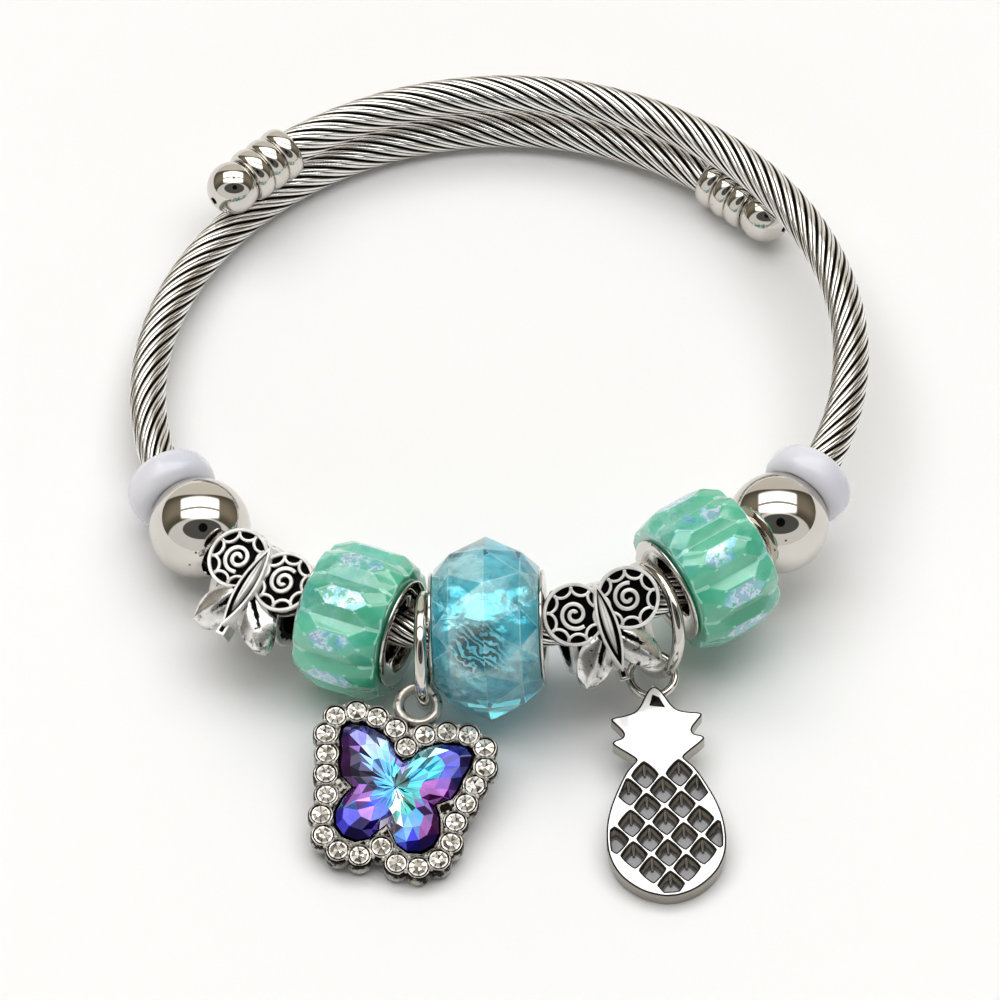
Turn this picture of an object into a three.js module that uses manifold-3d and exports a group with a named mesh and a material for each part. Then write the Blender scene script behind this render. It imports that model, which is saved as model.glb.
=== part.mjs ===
// Charm bangle: a sprung coil of twisted steel cable that overlaps at the back,
// with slide-on beads at the front and two charms on rings.
// Millimetres, +Z up, the bangle lying on the plane z = 0 with its charms at -Y.
import * as THREE from 'three';
import { mergeVertices } from 'three/addons/utils/BufferGeometryUtils.js';
import Module from 'manifold-3d';

const wasm = await Module();
wasm.setup();

// ---------------------------------------------------------------- dimensions

// The coil. Its angle is 0 at the back of the upper strand and grows to the
// right, the front, the left and the back of the lower strand.
const coil = {
  wireRadius: 1.6,      // of the whole twisted cable
  sides: 10,
  steps: 66,
  radius: 29.9,         // centre line, at the front
  narrowing: 0.78,      // loss of radius in one turn
  oval: -0.39,          // second harmonic, front and back flatter than the sides
  skew: 0.27,           // second harmonic, turned by 45 degrees
  trefoil: 0.125,       // third harmonic
  height: 7.46,         // of the centre line, mean of the upper turn
  frontLift: 1.79,      // the front is carried by the big bead
  rightLift: 1.18,
  pitch: 4.0,           // fall in one turn, so that the end caps clear the other strand
  startAngle: -0.775,   // left end, inside its cap
  endAngle: 7.08,       // right end, inside its cap
  springOut: 0.35,      // the lower end springs outwards
  springFrom: 6.3,
  springOver: 0.87,
};

const cap = { ballRadius: 2.28, ribRadius: 2.34, ribPitch: 1.65, ribs: 3, bore: 1.86,
  ballAngle: { left: -0.858, right: 7.163 }, ribsFrom: 1.62, ventRadius: 0.32, ventDepth: 1.0 };

// Pieces on the cable. Places are degrees from the front, positive to the left.
const stopper = { outer: 3.85, bore: 1.86, width: 3.2, places: { left: 69.0, right: -64.35 } };
const steelBall = {
  radius: 4.4, bore: 2.15, places: { left: 57.7, right: -53.45 },
  sag: { left: 0, right: 0.25 }, out: { left: 0, right: 0.1 },
};
const greenBead = {
  lobes: 10, radius: 6.5, shoulder: 5.75, valley: 5.85, valleyEnd: 5.3, width: 7.7,
  bore: 3.3, crest: 2.5, crestSide: 1.45, crestSpread: 8.5,
  places: { left: 23.35, right: -38.0 }, yaw: { left: -3, right: -2 }, roll: { left: 4, right: 10 },
  sag: { left: -0.22, right: -0.15 }, out: { left: 0.25, right: -0.35 },
};
const blueBead = { facets: 12, radius: 7.95, shoulder: 6.75, end: 5.2, shoulderAt: 3.1,
  width: 9.2, bore: 3.9, place: 1.5, roll: 7, sag: -0.67 };
const greenCore = { tube: 3.15, bore: 2.65, flange: 4.75, width: 8.5, lip: 0.33, throat: 3.5 };
const blueCore = { tube: 3.1, bore: 2.6, flange: 4.98, width: 9.92, lip: 0.3, throat: 3.5 };
const foil = { outer: 3.75, inner: 3.25, width: 8.6, folds: 14, crease: 0.16 };

const butterflyBead = {
  tube: 3.75, bore: 2.55, width: 7.4, rim: 0.25,
  wing: 2.85, wingApart: 5.3, wingUp: 1.2, wingTop: 4.75, wingThick: 1.5, recess: 0.5,
  rimWidth: 0.34, petals: 9, petalReach: 2.75, petalRadius: 0.98, petalSweep: 2.3, petalLine: 0.26,
  spiralTurns: 1.8, spiralLine: 0.34, spiralStart: 0.14, spiralRadius: 1.42,
  bodyLong: 8.6, bodyWide: 1.3, bodyTop: 5.45,
  leafLong: 5.0, leafWide: 2.7, leafTop: 4.9, leafThick: 1.1,
  places: { left: 40.85, right: -17.87 }, roll: { left: 43, right: 37 }, sag: { left: 0.55, right: 0.75 },
};

// Rings: middle radius, wire radius and where they hang.
const hanger = { radius: 4.62, wire: 0.56 };
const jumpRing = { radius: 1.97, wire: 0.38, rise: 6.4 };

const drop = {
  tilt: 14, lean: -13.1, plate: 1.7, seatDepth: 0.75,
  loopRadius: 1.66, loopWire: 0.5,
  stoneRadius: 0.84, seatWall: 0.38, seatGap: 0.08, pin: 0.21, pinApart: 0.62,
};
const pineapple = { tilt: 8.2, lean: 4.1, plate: 1.5, crownPlate: 0.95, pit: 0.8 };

// ---------------------------------------------------------------- materials

function metal(color, roughness) {
  return new THREE.MeshStandardMaterial({ color, metalness: 1, roughness });
}
const twistedSteel = metal(0xb9b7b2, 0.32);
const polishedSteel = metal(0xd8d6d2, 0.08);
const antiqueSilver = metal(0x9a9890, 0.35);
const whiteSilver = metal(0xe6e6e8, 0.12);
const silverFoil = metal(0xcfe6ea, 0.3);
const milkyRubber = new THREE.MeshStandardMaterial({ color: 0xdfe2ea, metalness: 0, roughness: 0.35 });
const mintResin = new THREE.MeshStandardMaterial({ color: 0x63c9a0, metalness: 0, roughness: 0.2 });
const blueResin = new THREE.MeshStandardMaterial({ color: 0x58c4de, metalness: 0, roughness: 0.06 });
const violetCrystal = new THREE.MeshStandardMaterial({ color: 0x4a58d0, metalness: 0, roughness: 0.05 });
const clearCrystal = new THREE.MeshStandardMaterial({ color: 0xf2f2f4, metalness: 0, roughness: 0.05 });

// ---------------------------------------------------------------- solids

// A geometry with shared vertices, without collapsed triangles, facing outwards.
function closedBody(geometry) {
  const bare = geometry.clone();
  for (const name of ['normal', 'uv']) {
    if (bare.getAttribute(name)) bare.deleteAttribute(name);
  }
  const merged = mergeVertices(bare, 1e-4);
  const place = merged.getAttribute('position');
  const index = merged.getIndex().array;
  const a = new THREE.Vector3();
  const b = new THREE.Vector3();
  const c = new THREE.Vector3();
  const kept = [];
  let volume = 0;
  for (let i = 0; i < index.length; i += 3) {
    const [p, q, r] = [index[i], index[i + 1], index[i + 2]];
    if (p === q || q === r || r === p) continue;
    kept.push(p, q, r);
    a.fromBufferAttribute(place, p);
    b.fromBufferAttribute(place, q);
    c.fromBufferAttribute(place, r);
    volume += a.dot(b.cross(c));
  }
  if (volume < 0) kept.reverse();
  merged.setIndex(kept);
  return merged;
}

function toSolid(geometry) {
  const body = closedBody(geometry);
  return new wasm.Manifold(new wasm.Mesh({
    numProp: 3,
    vertProperties: new Float32Array(body.getAttribute('position').array),
    triVerts: new Uint32Array(body.getIndex().array),
  }));
}

function toGeometry(solid) {
  const mesh = solid.getMesh();
  const geometry = new THREE.BufferGeometry();
  geometry.setAttribute('position', new THREE.BufferAttribute(mesh.vertProperties, 3));
  geometry.setIndex(new THREE.BufferAttribute(mesh.triVerts, 1));
  return geometry;
}

function joined(parts) {
  return parts.map(toSolid).reduce((whole, part) => whole.add(part));
}

function cut(solid, tools) {
  return tools.map(toSolid).reduce((whole, tool) => whole.subtract(tool), solid);
}

// A turned ring or rod about X, from a profile of [x, radius] rows.
function turned(profile, sides) {
  const points = profile.map(([x, r]) => new THREE.Vector2(r, x));
  const geometry = new THREE.LatheGeometry(points, sides);
  return geometry.rotateZ(-Math.PI / 2);
}

// A turned ring whose profile closes on itself.
function turnedRing(profile, sides) {
  return turned([...profile, profile[0]], sides);
}

// An outline in XY raised from z = low to z = high, with an optional bevel.
function raised(points, low, high, bevel = 0) {
  const shape = new THREE.Shape(points.map(([x, y]) => new THREE.Vector2(x, y)));
  const geometry = new THREE.ExtrudeGeometry(shape, {
    depth: high - low - 2 * bevel,
    bevelEnabled: bevel > 0,
    bevelThickness: bevel,
    bevelSize: bevel,
    bevelOffset: -bevel,
    bevelSegments: 1,
  });
  return geometry.translate(0, 0, low + bevel);
}

function disc(x, y, radius, low, high, sides, turn = 0) {
  const points = [];
  for (let i = 0; i < sides; i += 1) {
    const angle = turn + (2 * Math.PI * i) / sides;
    points.push([x + radius * Math.cos(angle), y + radius * Math.sin(angle)]);
  }
  return raised(points, low, high);
}

// A band of the given width along a row of points, raised from low to high.
function band(points, width, low, high) {
  const left = [];
  const right = [];
  points.forEach(([x, y], i) => {
    const [ax, ay] = points[Math.max(i - 1, 0)];
    const [bx, by] = points[Math.min(i + 1, points.length - 1)];
    const length = Math.hypot(bx - ax, by - ay);
    const nx = (-(by - ay) / length) * (width / 2);
    const ny = ((bx - ax) / length) * (width / 2);
    left.push([x + nx, y + ny]);
    right.push([x - nx, y - ny]);
  });
  return raised([...left, ...right.reverse()], low, high);
}

// A wire ring about Z.
function wireRing(radius, wire, around, section) {
  return new THREE.TorusGeometry(radius, wire, section, around);
}

// Rows of points round X, joined row to row, closed by a fan at each end.
function rowsBody(rows) {
  const count = rows[0].length;
  const vertices = rows.flat();
  const faces = [];
  for (let row = 0; row + 1 < rows.length; row += 1) {
    for (let i = 0; i < count; i += 1) {
      const j = (i + 1) % count;
      const a = row * count + i;
      const b = row * count + j;
      const staggered = row % 2 === 0;
      const c = a + count;
      const d = b + count;
      if (staggered) faces.push(a, b, c, b, d, c);
      else faces.push(a, b, d, a, d, c);
    }
  }
  const first = vertices.length;
  vertices.push([rows[0][0][0], 0, 0], [rows[rows.length - 1][0][0], 0, 0]);
  const lastRow = (rows.length - 1) * count;
  for (let i = 0; i < count; i += 1) {
    const j = (i + 1) % count;
    faces.push(first, j, i, first + 1, lastRow + i, lastRow + j);
  }
  return facesBody(vertices, faces);
}

function facesBody(vertices, faces) {
  const geometry = new THREE.BufferGeometry();
  geometry.setAttribute('position', new THREE.Float32BufferAttribute(vertices.flat(), 3));
  geometry.setIndex(faces);
  return geometry;
}

function around(x, radius, angle) {
  return [x, radius * Math.cos(angle), radius * Math.sin(angle)];
}

// ---------------------------------------------------------------- the coil

const degree = Math.PI / 180;

function coilPoint(angle) {
  const spring = Math.max((angle - coil.springFrom) / coil.springOver, 0) ** 2;
  const radius = coil.radius - (coil.narrowing * (angle - Math.PI)) / (2 * Math.PI)
    + coil.oval * Math.cos(2 * angle) + coil.skew * Math.sin(2 * angle)
    + coil.trefoil * Math.cos(3 * angle) + coil.springOut * spring;
  const height = coil.height - coil.frontLift * Math.cos(angle) + coil.rightLift * Math.sin(angle)
    - (coil.pitch * angle) / (2 * Math.PI);
  return new THREE.Vector3(radius * Math.sin(angle), radius * Math.cos(angle), height);
}

class CoilCurve extends THREE.Curve {
  getPoint(t, target = new THREE.Vector3()) {
    return target.copy(coilPoint(coil.startAngle + (coil.endAngle - coil.startAngle) * t));
  }
}

// A frame on the cable: X along it (to the right at the front), Y to the middle
// of the wrist, Z up. Turned by yaw about Z and roll about X, in degrees, and
// moved down by sag and outwards by out.
function station(angle, { yaw = 0, roll = 0, sag = 0, out = 0 } = {}) {
  const small = 0.002;
  const axis = coilPoint(angle - small).sub(coilPoint(angle + small)).normalize();
  const up = new THREE.Vector3(0, 0, 1).addScaledVector(axis, -axis.z).normalize();
  const inward = new THREE.Vector3().crossVectors(up, axis);
  const matrix = new THREE.Matrix4().makeBasis(axis, inward, up);
  const middle = coilPoint(angle).addScaledVector(inward, -out);
  matrix.setPosition(middle.x, middle.y, middle.z - sag);
  matrix.multiply(new THREE.Matrix4().makeRotationZ(yaw * degree));
  matrix.multiply(new THREE.Matrix4().makeRotationX(roll * degree));
  return matrix;
}

function fromFront(degreesLeft) {
  return Math.PI + degreesLeft * degree;
}

// ---------------------------------------------------------------- pieces

function cableTube() {
  const section = new THREE.Shape();
  for (let i = 0; i < coil.sides; i += 1) {
    const angle = (2 * Math.PI * i) / coil.sides;
    const [x, y] = [coil.wireRadius * Math.cos(angle), coil.wireRadius * Math.sin(angle)];
    if (i === 0) section.moveTo(x, y);
    else section.lineTo(x, y);
  }
  return new THREE.ExtrudeGeometry(section, {
    steps: coil.steps, extrudePath: new CoilCurve(), bevelEnabled: false,
  });
}

// The ball that ends the cable, with its vent hole on the far pole.
function endBall() {
  const profile = [];
  const rows = 9;
  for (let i = 0; i <= rows; i += 1) {
    const angle = (Math.PI * i) / rows;
    profile.push([-cap.ballRadius * Math.cos(angle), cap.ballRadius * Math.sin(angle)]);
  }
  const vent = turned([
    [-cap.ballRadius - 1, 0], [-cap.ballRadius - 1, cap.ventRadius],
    [-cap.ballRadius + cap.ventDepth, cap.ventRadius], [-cap.ballRadius + cap.ventDepth, 0],
  ], 8);
  return toGeometry(cut(toSolid(turned(profile, 16)), [vent]));
}

// Three rounded ribs on a sleeve round the end of the cable.
function endRibs() {
  const half = cap.ribPitch / 2;
  const outer = [];
  for (let rib = 0; rib < cap.ribs; rib += 1) {
    const middle = cap.ribsFrom + half + rib * cap.ribPitch;
    for (const [along, share] of [[-0.95, 0.6], [-0.45, 1], [0.45, 1], [0.95, 0.6]]) {
      outer.push([middle + along * half, cap.bore + (cap.ribRadius - cap.bore) * share]);
    }
  }
  const last = outer[outer.length - 1][0];
  return turnedRing([[outer[0][0], cap.bore], ...outer, [last, cap.bore]], 14);
}

function roundedRing(outer, bore, width, squareness) {
  const profile = [[-width / 2 + 0.2, bore], [width / 2 - 0.2, bore]];
  const steps = 8;
  for (let i = 0; i <= steps; i += 1) {
    const angle = (Math.PI * i) / steps;
    const along = (width / 2) * Math.sign(Math.cos(angle)) * Math.abs(Math.cos(angle)) ** squareness;
    const middle = bore + 0.35;
    profile.push([along, middle + (outer - middle) * Math.sin(angle) ** squareness]);
  }
  return turnedRing(profile, 16);
}

// A drilled ball.
function steelBallBody() {
  const { radius, bore } = steelBall;
  const first = Math.asin(bore / radius);
  const profile = [];
  const rows = 9;
  for (let i = 0; i <= rows; i += 1) {
    const angle = first + ((Math.PI - 2 * first) * i) / rows;
    profile.push([radius * Math.cos(angle), radius * Math.sin(angle)]);
  }
  return turnedRing(profile, 16);
}

// The metal eyelet through a bead: a tube with flared, rolled lips.
function eyelet(core) {
  const half = core.width / 2;
  const lipBack = half - core.lip;
  const side = [
    [lipBack, core.tube],
    [lipBack, core.flange - 0.2],
    [half - 0.18, core.flange],
    [half, core.flange - 0.2],
    [half - 0.05, core.throat],
    [lipBack, core.tube - 0.2],
    [half - 1.1, core.bore],
  ];
  const mirrored = side.map(([x, r]) => [-x, r]).reverse();
  return turnedRing([...side, ...mirrored], 14);
}

// Lobed bead: each lobe has a long six-sided crest facet, two flanks that fall
// to the valleys and sloped ends.
function greenBeadBody() {
  const g = greenBead;
  const half = g.width / 2;
  const step = (2 * Math.PI) / g.lobes;
  const spread = g.crestSpread * degree;
  const shoulderAt = half - 0.9;
  const vertices = [];
  const perLobe = 16;
  for (let lobe = 0; lobe < g.lobes; lobe += 1) {
    const middle = lobe * step;
    const valley = middle - step / 2;
    vertices.push(
      around(-half, g.valleyEnd, valley), around(-shoulderAt, g.valley, valley),
      around(shoulderAt, g.valley, valley), around(half, g.valleyEnd, valley),
      around(-half, g.shoulder, middle - spread), around(-half, g.shoulder, middle + spread),
      around(half, g.shoulder, middle - spread), around(half, g.shoulder, middle + spread),
      around(-g.crest, g.radius - 0.02, middle), around(g.crest, g.radius - 0.02, middle),
      around(-g.crestSide, g.radius, middle - spread), around(g.crestSide, g.radius, middle - spread),
      around(-g.crestSide, g.radius, middle + spread), around(g.crestSide, g.radius, middle + spread),
      around(0, g.radius, middle), around(0, g.valley + 0.02, valley),
    );
  }
  const faces = [];
  const ends = [g.lobes * perLobe, g.lobes * perLobe + 1];
  vertices.push([-half, 0, 0], [half, 0, 0]);
  for (let lobe = 0; lobe < g.lobes; lobe += 1) {
    const o = lobe * perLobe;
    const n = ((lobe + 1) % g.lobes) * perLobe;
    const [v0, v1, v2, v3, e0, e1, e2, e3] = [0, 1, 2, 3, 4, 5, 6, 7].map((k) => o + k);
    const [tipL, tipR, a, b, c, d, top, v4] = [8, 9, 10, 11, 12, 13, 14, 15].map((k) => o + k);
    const [w0, w1, w2, w3, w4] = [n, n + 1, n + 2, n + 3, n + 15];
    // crest facet
    faces.push(top, tipL, a, top, a, b, top, b, tipR, top, tipR, d, top, d, c, top, c, tipL);
    // flank towards the lower valley
    faces.push(a, v1, v4, a, v4, b, b, v4, v2, a, e0, v1, v1, e0, v0, b, v2, e2, v2, v3, e2);
    // flank towards the next valley
    faces.push(c, w4, w1, c, d, w4, d, w2, w4, c, w1, e1, w1, w0, e1, d, e3, w2, w2, e3, w3);
    // sloped ends
    faces.push(tipL, e0, a, tipL, e1, e0, tipL, c, e1, tipR, b, e2, tipR, e2, e3, tipR, e3, d);
    // flat ends
    faces.push(ends[0], v0, e0, ends[0], e0, e1, ends[0], e1, w0);
    faces.push(ends[1], e2, v3, ends[1], e3, e2, ends[1], w3, e3);
  }
  const bore = turned([[-half - 1, 0], [-half - 1, g.bore], [half + 1, g.bore], [half + 1, 0]], 16);
  return toGeometry(cut(toSolid(facesBody(vertices, faces)), [bore]));
}

// Faceted bead: staggered rows of points, widest in a sharp middle ridge.
function blueBeadBody() {
  const b = blueBead;
  const half = b.width / 2;
  const step = (2 * Math.PI) / b.facets;
  const rows = [
    [-half, b.end, 0], [-b.shoulderAt, b.shoulder, 0.5], [0, b.radius, 0],
    [b.shoulderAt, b.shoulder, 0.5], [half, b.end, 0],
  ].map(([x, radius, phase]) => {
    const row = [];
    for (let i = 0; i < b.facets; i += 1) row.push(around(x, radius, (i + phase) * step));
    return row;
  });
  const bore = turned([[-half - 1, 0], [-half - 1, b.bore], [half + 1, b.bore], [half + 1, 0]], 16);
  return toGeometry(cut(toSolid(rowsBody(rows)), [bore]));
}

// The creased foil sleeve between the eyelet and the clear bead.
function foilSleeve() {
  const rows = [];
  const lengths = 5;
  for (let k = 0; k <= lengths; k += 1) {
    const x = foil.width * (k / lengths - 0.5);
    const row = [];
    for (let i = 0; i < foil.folds; i += 1) {
      const crease = (i * 3 + k * 5) % 4 < 2 ? foil.crease : 0;
      row.push(around(x, foil.outer - crease, ((i + 0.4 * (k % 2)) * 2 * Math.PI) / foil.folds));
    }
    rows.push(row);
  }
  const reach = foil.width;
  const bore = turned([[-reach, 0], [-reach, foil.inner], [reach, foil.inner], [reach, 0]], 16);
  return toGeometry(cut(toSolid(rowsBody(rows)), [bore]));
}

// ---------------------------------------------------------------- butterfly bead

// One upper wing about its own centre: a dished disc with a rim, scalloped
// petals inside it and a spiral.
function wingParts(x, y, hand) {
  const w = butterflyBead;
  const floor = w.wingTop - w.recess;
  const dish = toSolid(disc(x, y, w.wing, w.wingTop - w.wingThick, w.wingTop, 16));
  const parts = [toGeometry(cut(dish, [disc(x, y, w.wing - w.rimWidth, floor, w.wingTop + 1, 16)]))];
  const low = floor - 0.1;
  const steps = 3;
  for (let petal = 0; petal < w.petals; petal += 1) {
    const centre = ((petal + 0.5) * 2 * Math.PI) / w.petals;
    const [petalX, petalY] = [x + w.petalReach * Math.cos(centre), y + w.petalReach * Math.sin(centre)];
    const arc = [];
    for (let i = 0; i <= steps; i += 1) {
      const swing = centre + Math.PI + (i / steps - 0.5) * w.petalSweep;
      arc.push([petalX + w.petalRadius * Math.cos(swing), petalY + w.petalRadius * Math.sin(swing)]);
    }
    parts.push(band(arc, w.petalLine, low, w.wingTop - 0.04));
  }
  const spiral = [];
  const turns = 11;
  for (let i = 0; i <= turns; i += 1) {
    const share = i / turns;
    const angle = hand * (share * w.spiralTurns * 2 * Math.PI + 0.4);
    const radius = w.spiralStart + (w.spiralRadius - w.spiralStart) * share;
    spiral.push([x + radius * Math.cos(angle), y + radius * Math.sin(angle)]);
  }
  parts.push(band(spiral, w.spiralLine, low, w.wingTop - 0.02));
  return parts;
}

// A pointed leaf from its root, with a ridge along the middle.
function leafBody(rootX, rootY, angle) {
  const w = butterflyBead;
  const low = w.leafTop - w.leafThick;
  const edge = w.leafTop - 0.55;
  const outline = [[0, 0], [0.32, 0.5], [0.68, 0.5], [0.92, 0.24],
    [1, 0], [0.92, -0.24], [0.68, -0.5], [0.32, -0.5]];
  const turn = ([along, side, z]) => {
    const [u, v] = [along * w.leafLong, side * w.leafWide];
    const bend = -0.9 * along * along;
    return [rootX + u * Math.cos(angle) - v * Math.sin(angle),
      rootY + u * Math.sin(angle) + v * Math.cos(angle), z + bend];
  };
  const vertices = [
    ...outline.map(([along, side]) => turn([along, side, low])),
    ...outline.map(([along, side]) => turn([along, side, edge])),
    turn([0.35, 0, w.leafTop]), turn([0.8, 0, w.leafTop]), turn([0.5, 0, low]),
  ];
  const faces = [];
  const count = outline.length;
  for (let i = 0; i < count; i += 1) {
    const j = (i + 1) % count;
    faces.push(i, j, count + i, j, count + j, count + i, 2 * count + 2, j, i);
    const ridge = i < 2 || i > 5 ? 2 * count : 2 * count + 1;
    faces.push(count + i, count + j, ridge);
  }
  faces.push(2 * count, count + 2, 2 * count + 1, 2 * count, 2 * count + 1, count + 6);
  return facesBody(vertices, faces);
}

// The bead is a short tube; the butterfly sits on it, raised along Z.
function butterflyBeadBody() {
  const w = butterflyBead;
  const half = w.width / 2;
  const tube = turnedRing([
    [-half, w.bore], [-half, w.tube], [-half + 0.7, w.tube], [-half + 0.8, w.tube - w.rim],
    [half - 0.8, w.tube - w.rim], [half - 0.7, w.tube], [half, w.tube], [half, w.bore],
  ], 16);
  const reach = w.bodyLong / 2;
  const wide = w.bodyWide / 2;
  const bodyOutline = [[0, reach], [-wide * 0.8, reach * 0.55], [-wide, -reach * 0.2],
    [-wide * 0.5, -reach * 0.8], [0, -reach], [wide * 0.5, -reach * 0.8], [wide, -reach * 0.2],
    [wide * 0.8, reach * 0.55]];
  const body = raised(bodyOutline, w.tube - 0.9, w.bodyTop, 0.25).translate(0, -0.9, 0);
  const block = raised([[-2.9, -2.4], [2.9, -2.4], [2.9, 2.4], [-2.9, 2.4]], w.bore + 0.25, w.wingTop - 0.9);
  const shifted = w.wingApart / 2;
  const solid = joined([
    tube, block, body,
    ...wingParts(-shifted, w.wingUp, 1), ...wingParts(shifted, w.wingUp, -1),
    leafBody(-0.5, -1.2, -125 * degree), leafBody(0.5, -1.2, -50 * degree),
  ]);
  const bore = turned([[-half - 1, 0], [-half - 1, w.bore], [half + 1, w.bore], [half + 1, 0]], 16);
  return toGeometry(cut(solid, [bore]));
}

// ---------------------------------------------------------------- butterfly charm

// The charm lies in XY about the middle of its crystal, +Y to its loop.
// Half of the stone row, from the top notch to the bottom notch, as x and y.
const stoneRow = [
  [0, 4.85], [1.3, 6.3], [3.1, 7.0], [4.95, 7.15], [6.6, 6.3], [7.05, 4.5], [6.55, 2.7],
  [6.2, 0.85], [5.7, -1.05], [5.75, -3.0], [5.1, -4.8], [3.55, -5.9], [1.65, -5.95],
];
const bottomStone = [0, -4.75];
const charmLoop = [0, 9.15];

function stonePlaces() {
  const places = [stoneRow[0]];
  for (const [x, y] of stoneRow.slice(1)) places.push([x, y], [-x, y]);
  places.push(bottomStone);
  return places;
}

// The crystal's outline: right half from the top notch to the bottom notch.
const crystalHalf = [
  [0, 3.0], [0.75, 3.4], [1.65, 4.7], [3.1, 5.5], [4.75, 5.65], [5.6, 4.75], [5.5, 2.7],
  [4.95, 1.3], [3.5, 0.1], [4.4, -2.0], [4.25, -3.55], [2.75, -4.6], [1.7, -4.35],
  [0.8, -3.25], [0, -2.75],
];

// The upper edge of its facets, point for point.
const crystalTable = [
  [0, 1.5], [1.83, 3.25], [2.28, 3.9], [3.0, 4.3], [3.83, 4.38], [4.25, 3.93], [4.2, 2.9],
  [3.93, 2.2], [2.3, 0.3], [3.65, -2.0], [3.58, -2.78], [2.83, -3.3], [2.3, -3.18],
  [1.85, -2.63], [0, -1.2],
];

function bothHalves(half) {
  const inner = half.slice(1, -1);
  return [half[0], ...inner.map(([x, y]) => [-x, y]), half[half.length - 1], ...inner.reverse()];
}

function scaled(points, factor, shift = 0) {
  return points.map(([x, y]) => [x * factor, (y - shift) * factor + shift]);
}

// Plate outline: circles round the stones, joined to one plate, with the
// crystal's window and the stones' seats sunk in it.
function charmFrame() {
  const d = drop;
  const top = d.plate;
  const parts = [raised(bothHalves([...stoneRow, bottomStone]), 0, top - 0.35)];
  for (const [x, y] of stonePlaces()) {
    parts.push(disc(x, y, d.stoneRadius + d.seatWall, 0, top, 8, 0.3));
  }
  const seatRadius = d.stoneRadius + d.seatGap;
  const seats = stonePlaces().map(([x, y]) => disc(x, y, seatRadius, top - d.seatDepth, top + 1, 8));
  const window = raised(scaled(bothHalves(crystalHalf), 1.04, 0.4), top - 1.27, top + 1);
  parts.push(raised(scaled(bothHalves(crystalHalf), 1.1, 0.4), top - 0.9, top - 0.12));
  const [loopX, loopY] = charmLoop;
  const loop = wireRing(d.loopRadius, d.loopWire, 16, 6).translate(loopX, loopY, top / 2);
  const neck = raised([[-0.75, 5.9], [0.75, 5.9], [0.7, 7.6], [-0.7, 7.6]], 0.25, top - 0.25);
  parts.push(loop, neck);
  const pins = [];
  const ring = [...stoneRow, bottomStone];
  for (let i = 0; i + 1 < ring.length; i += 1) {
    const [ax, ay] = ring[i];
    const [bx, by] = ring[i + 1];
    const length = Math.hypot(bx - ax, by - ay);
    for (const side of [-1, 1]) {
      const px = (ax + bx) / 2 - (side * d.pinApart * (by - ay)) / length;
      const py = (ay + by) / 2 + (side * d.pinApart * (bx - ax)) / length;
      for (const hand of [-1, 1]) pins.push(disc(hand * px, py, d.pin, top - 0.5, top + 0.16, 3));
    }
  }
  const solid = cut(joined([...parts, ...pins]), [window, ...seats]);
  const hole = turned([[-3, 0], [-3, d.loopRadius - d.loopWire], [3, d.loopRadius - d.loopWire], [3, 0]], 16)
    .rotateY(Math.PI / 2).translate(loopX, loopY, 0);
  return toGeometry(cut(solid, [hole]));
}

// Cut crystal: a girdle with the butterfly's outline, sloped facets to a
// raised centre line, flat below.
function crystalBody() {
  const outline = bothHalves(crystalHalf);
  const top = drop.plate;
  const count = outline.length;
  const rise = 0.95;
  const low = scaled(outline, 1, 0.4).map(([x, y]) => [x, y, top - 1.15]);
  const girdle = outline.map(([x, y]) => [x, y, top - 0.3]);
  const table = bothHalves(crystalTable).map(([x, y]) => [x, y, top + (x === 0 ? 0.7 : 0.52)]);
  const vertices = [...low, ...girdle, ...table, [0, 0.4, top - 1.15], [0, 0.4, top + rise]];
  const faces = [];
  for (let i = 0; i < count; i += 1) {
    const j = (i + 1) % count;
    faces.push(3 * count, j, i);
    for (const layer of [0, 1]) {
      const [a, b] = [layer * count + i, layer * count + j];
      faces.push(a, b, a + count, b, b + count, a + count);
    }
    faces.push(2 * count + i, 2 * count + j, 3 * count + 1);
  }
  return facesBody(vertices, faces);
}

// A round brilliant stone: table, crown of eight and pavilion of eight facets.
function stoneBody(turn) {
  const r = drop.stoneRadius;
  const rows = [[-0.62, 0.1, 0], [-0.08, r, 0.5], [0.3, r * 0.6, 0]];
  const body = rows.map(([z, radius, phase]) => {
    const row = [];
    for (let i = 0; i < 8; i += 1) row.push(around(z, radius, ((i + phase) * Math.PI) / 4 + turn));
    return row;
  });
  return rowsBody(body).rotateY(-Math.PI / 2);
}

// ---------------------------------------------------------------- pineapple charm

// Lies in XY, +Y to the crown, the middle of the fruit near the origin.
const fruit = { rim: 0.42, pitchX: 1.49, pitchY: 1.557, middle: [0, -0.95], openX: 1.1, openY: 1.12 };
// Half of the fruit's outline, from the neck to the bottom, as x and y.
const fruitHalf = [[2.0, 5.6], [3.25, 3.6], [4.3, 1.5], [5.0, -1.0], [5.05, -3.4], [4.3, -5.9],
  [2.6, -7.6], [0, -8.3]];
// Half of the crown's outline, from its tip to its root.
const crownHalf = [[0.28, 12.75], [1.15, 10.6], [3.95, 9.85], [2.92, 8.15], [3.95, 7.2], [2.05, 5.6]];
const crownHole = [0.05, 11.2];
// The small loop behind the crown's tip that carries the jump ring.
const bail = { at: [0, 12.45, -0.45], radius: 0.74, wire: 0.23 };

function fruitOutline(shrink) {
  const curve = new THREE.CatmullRomCurve3(bothHalves([[0, 6.3], ...fruitHalf])
    .map(([x, y]) => new THREE.Vector3(x, y, 0)), true);
  const points = curve.getPoints(28).slice(0, -1);
  const middle = new THREE.Vector3(0, -0.75, 0);
  return points.map((point) => {
    const away = point.clone().sub(middle);
    const kept = away.multiplyScalar(1 - shrink / away.length()).add(middle);
    return [kept.x, kept.y];
  });
}

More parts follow.
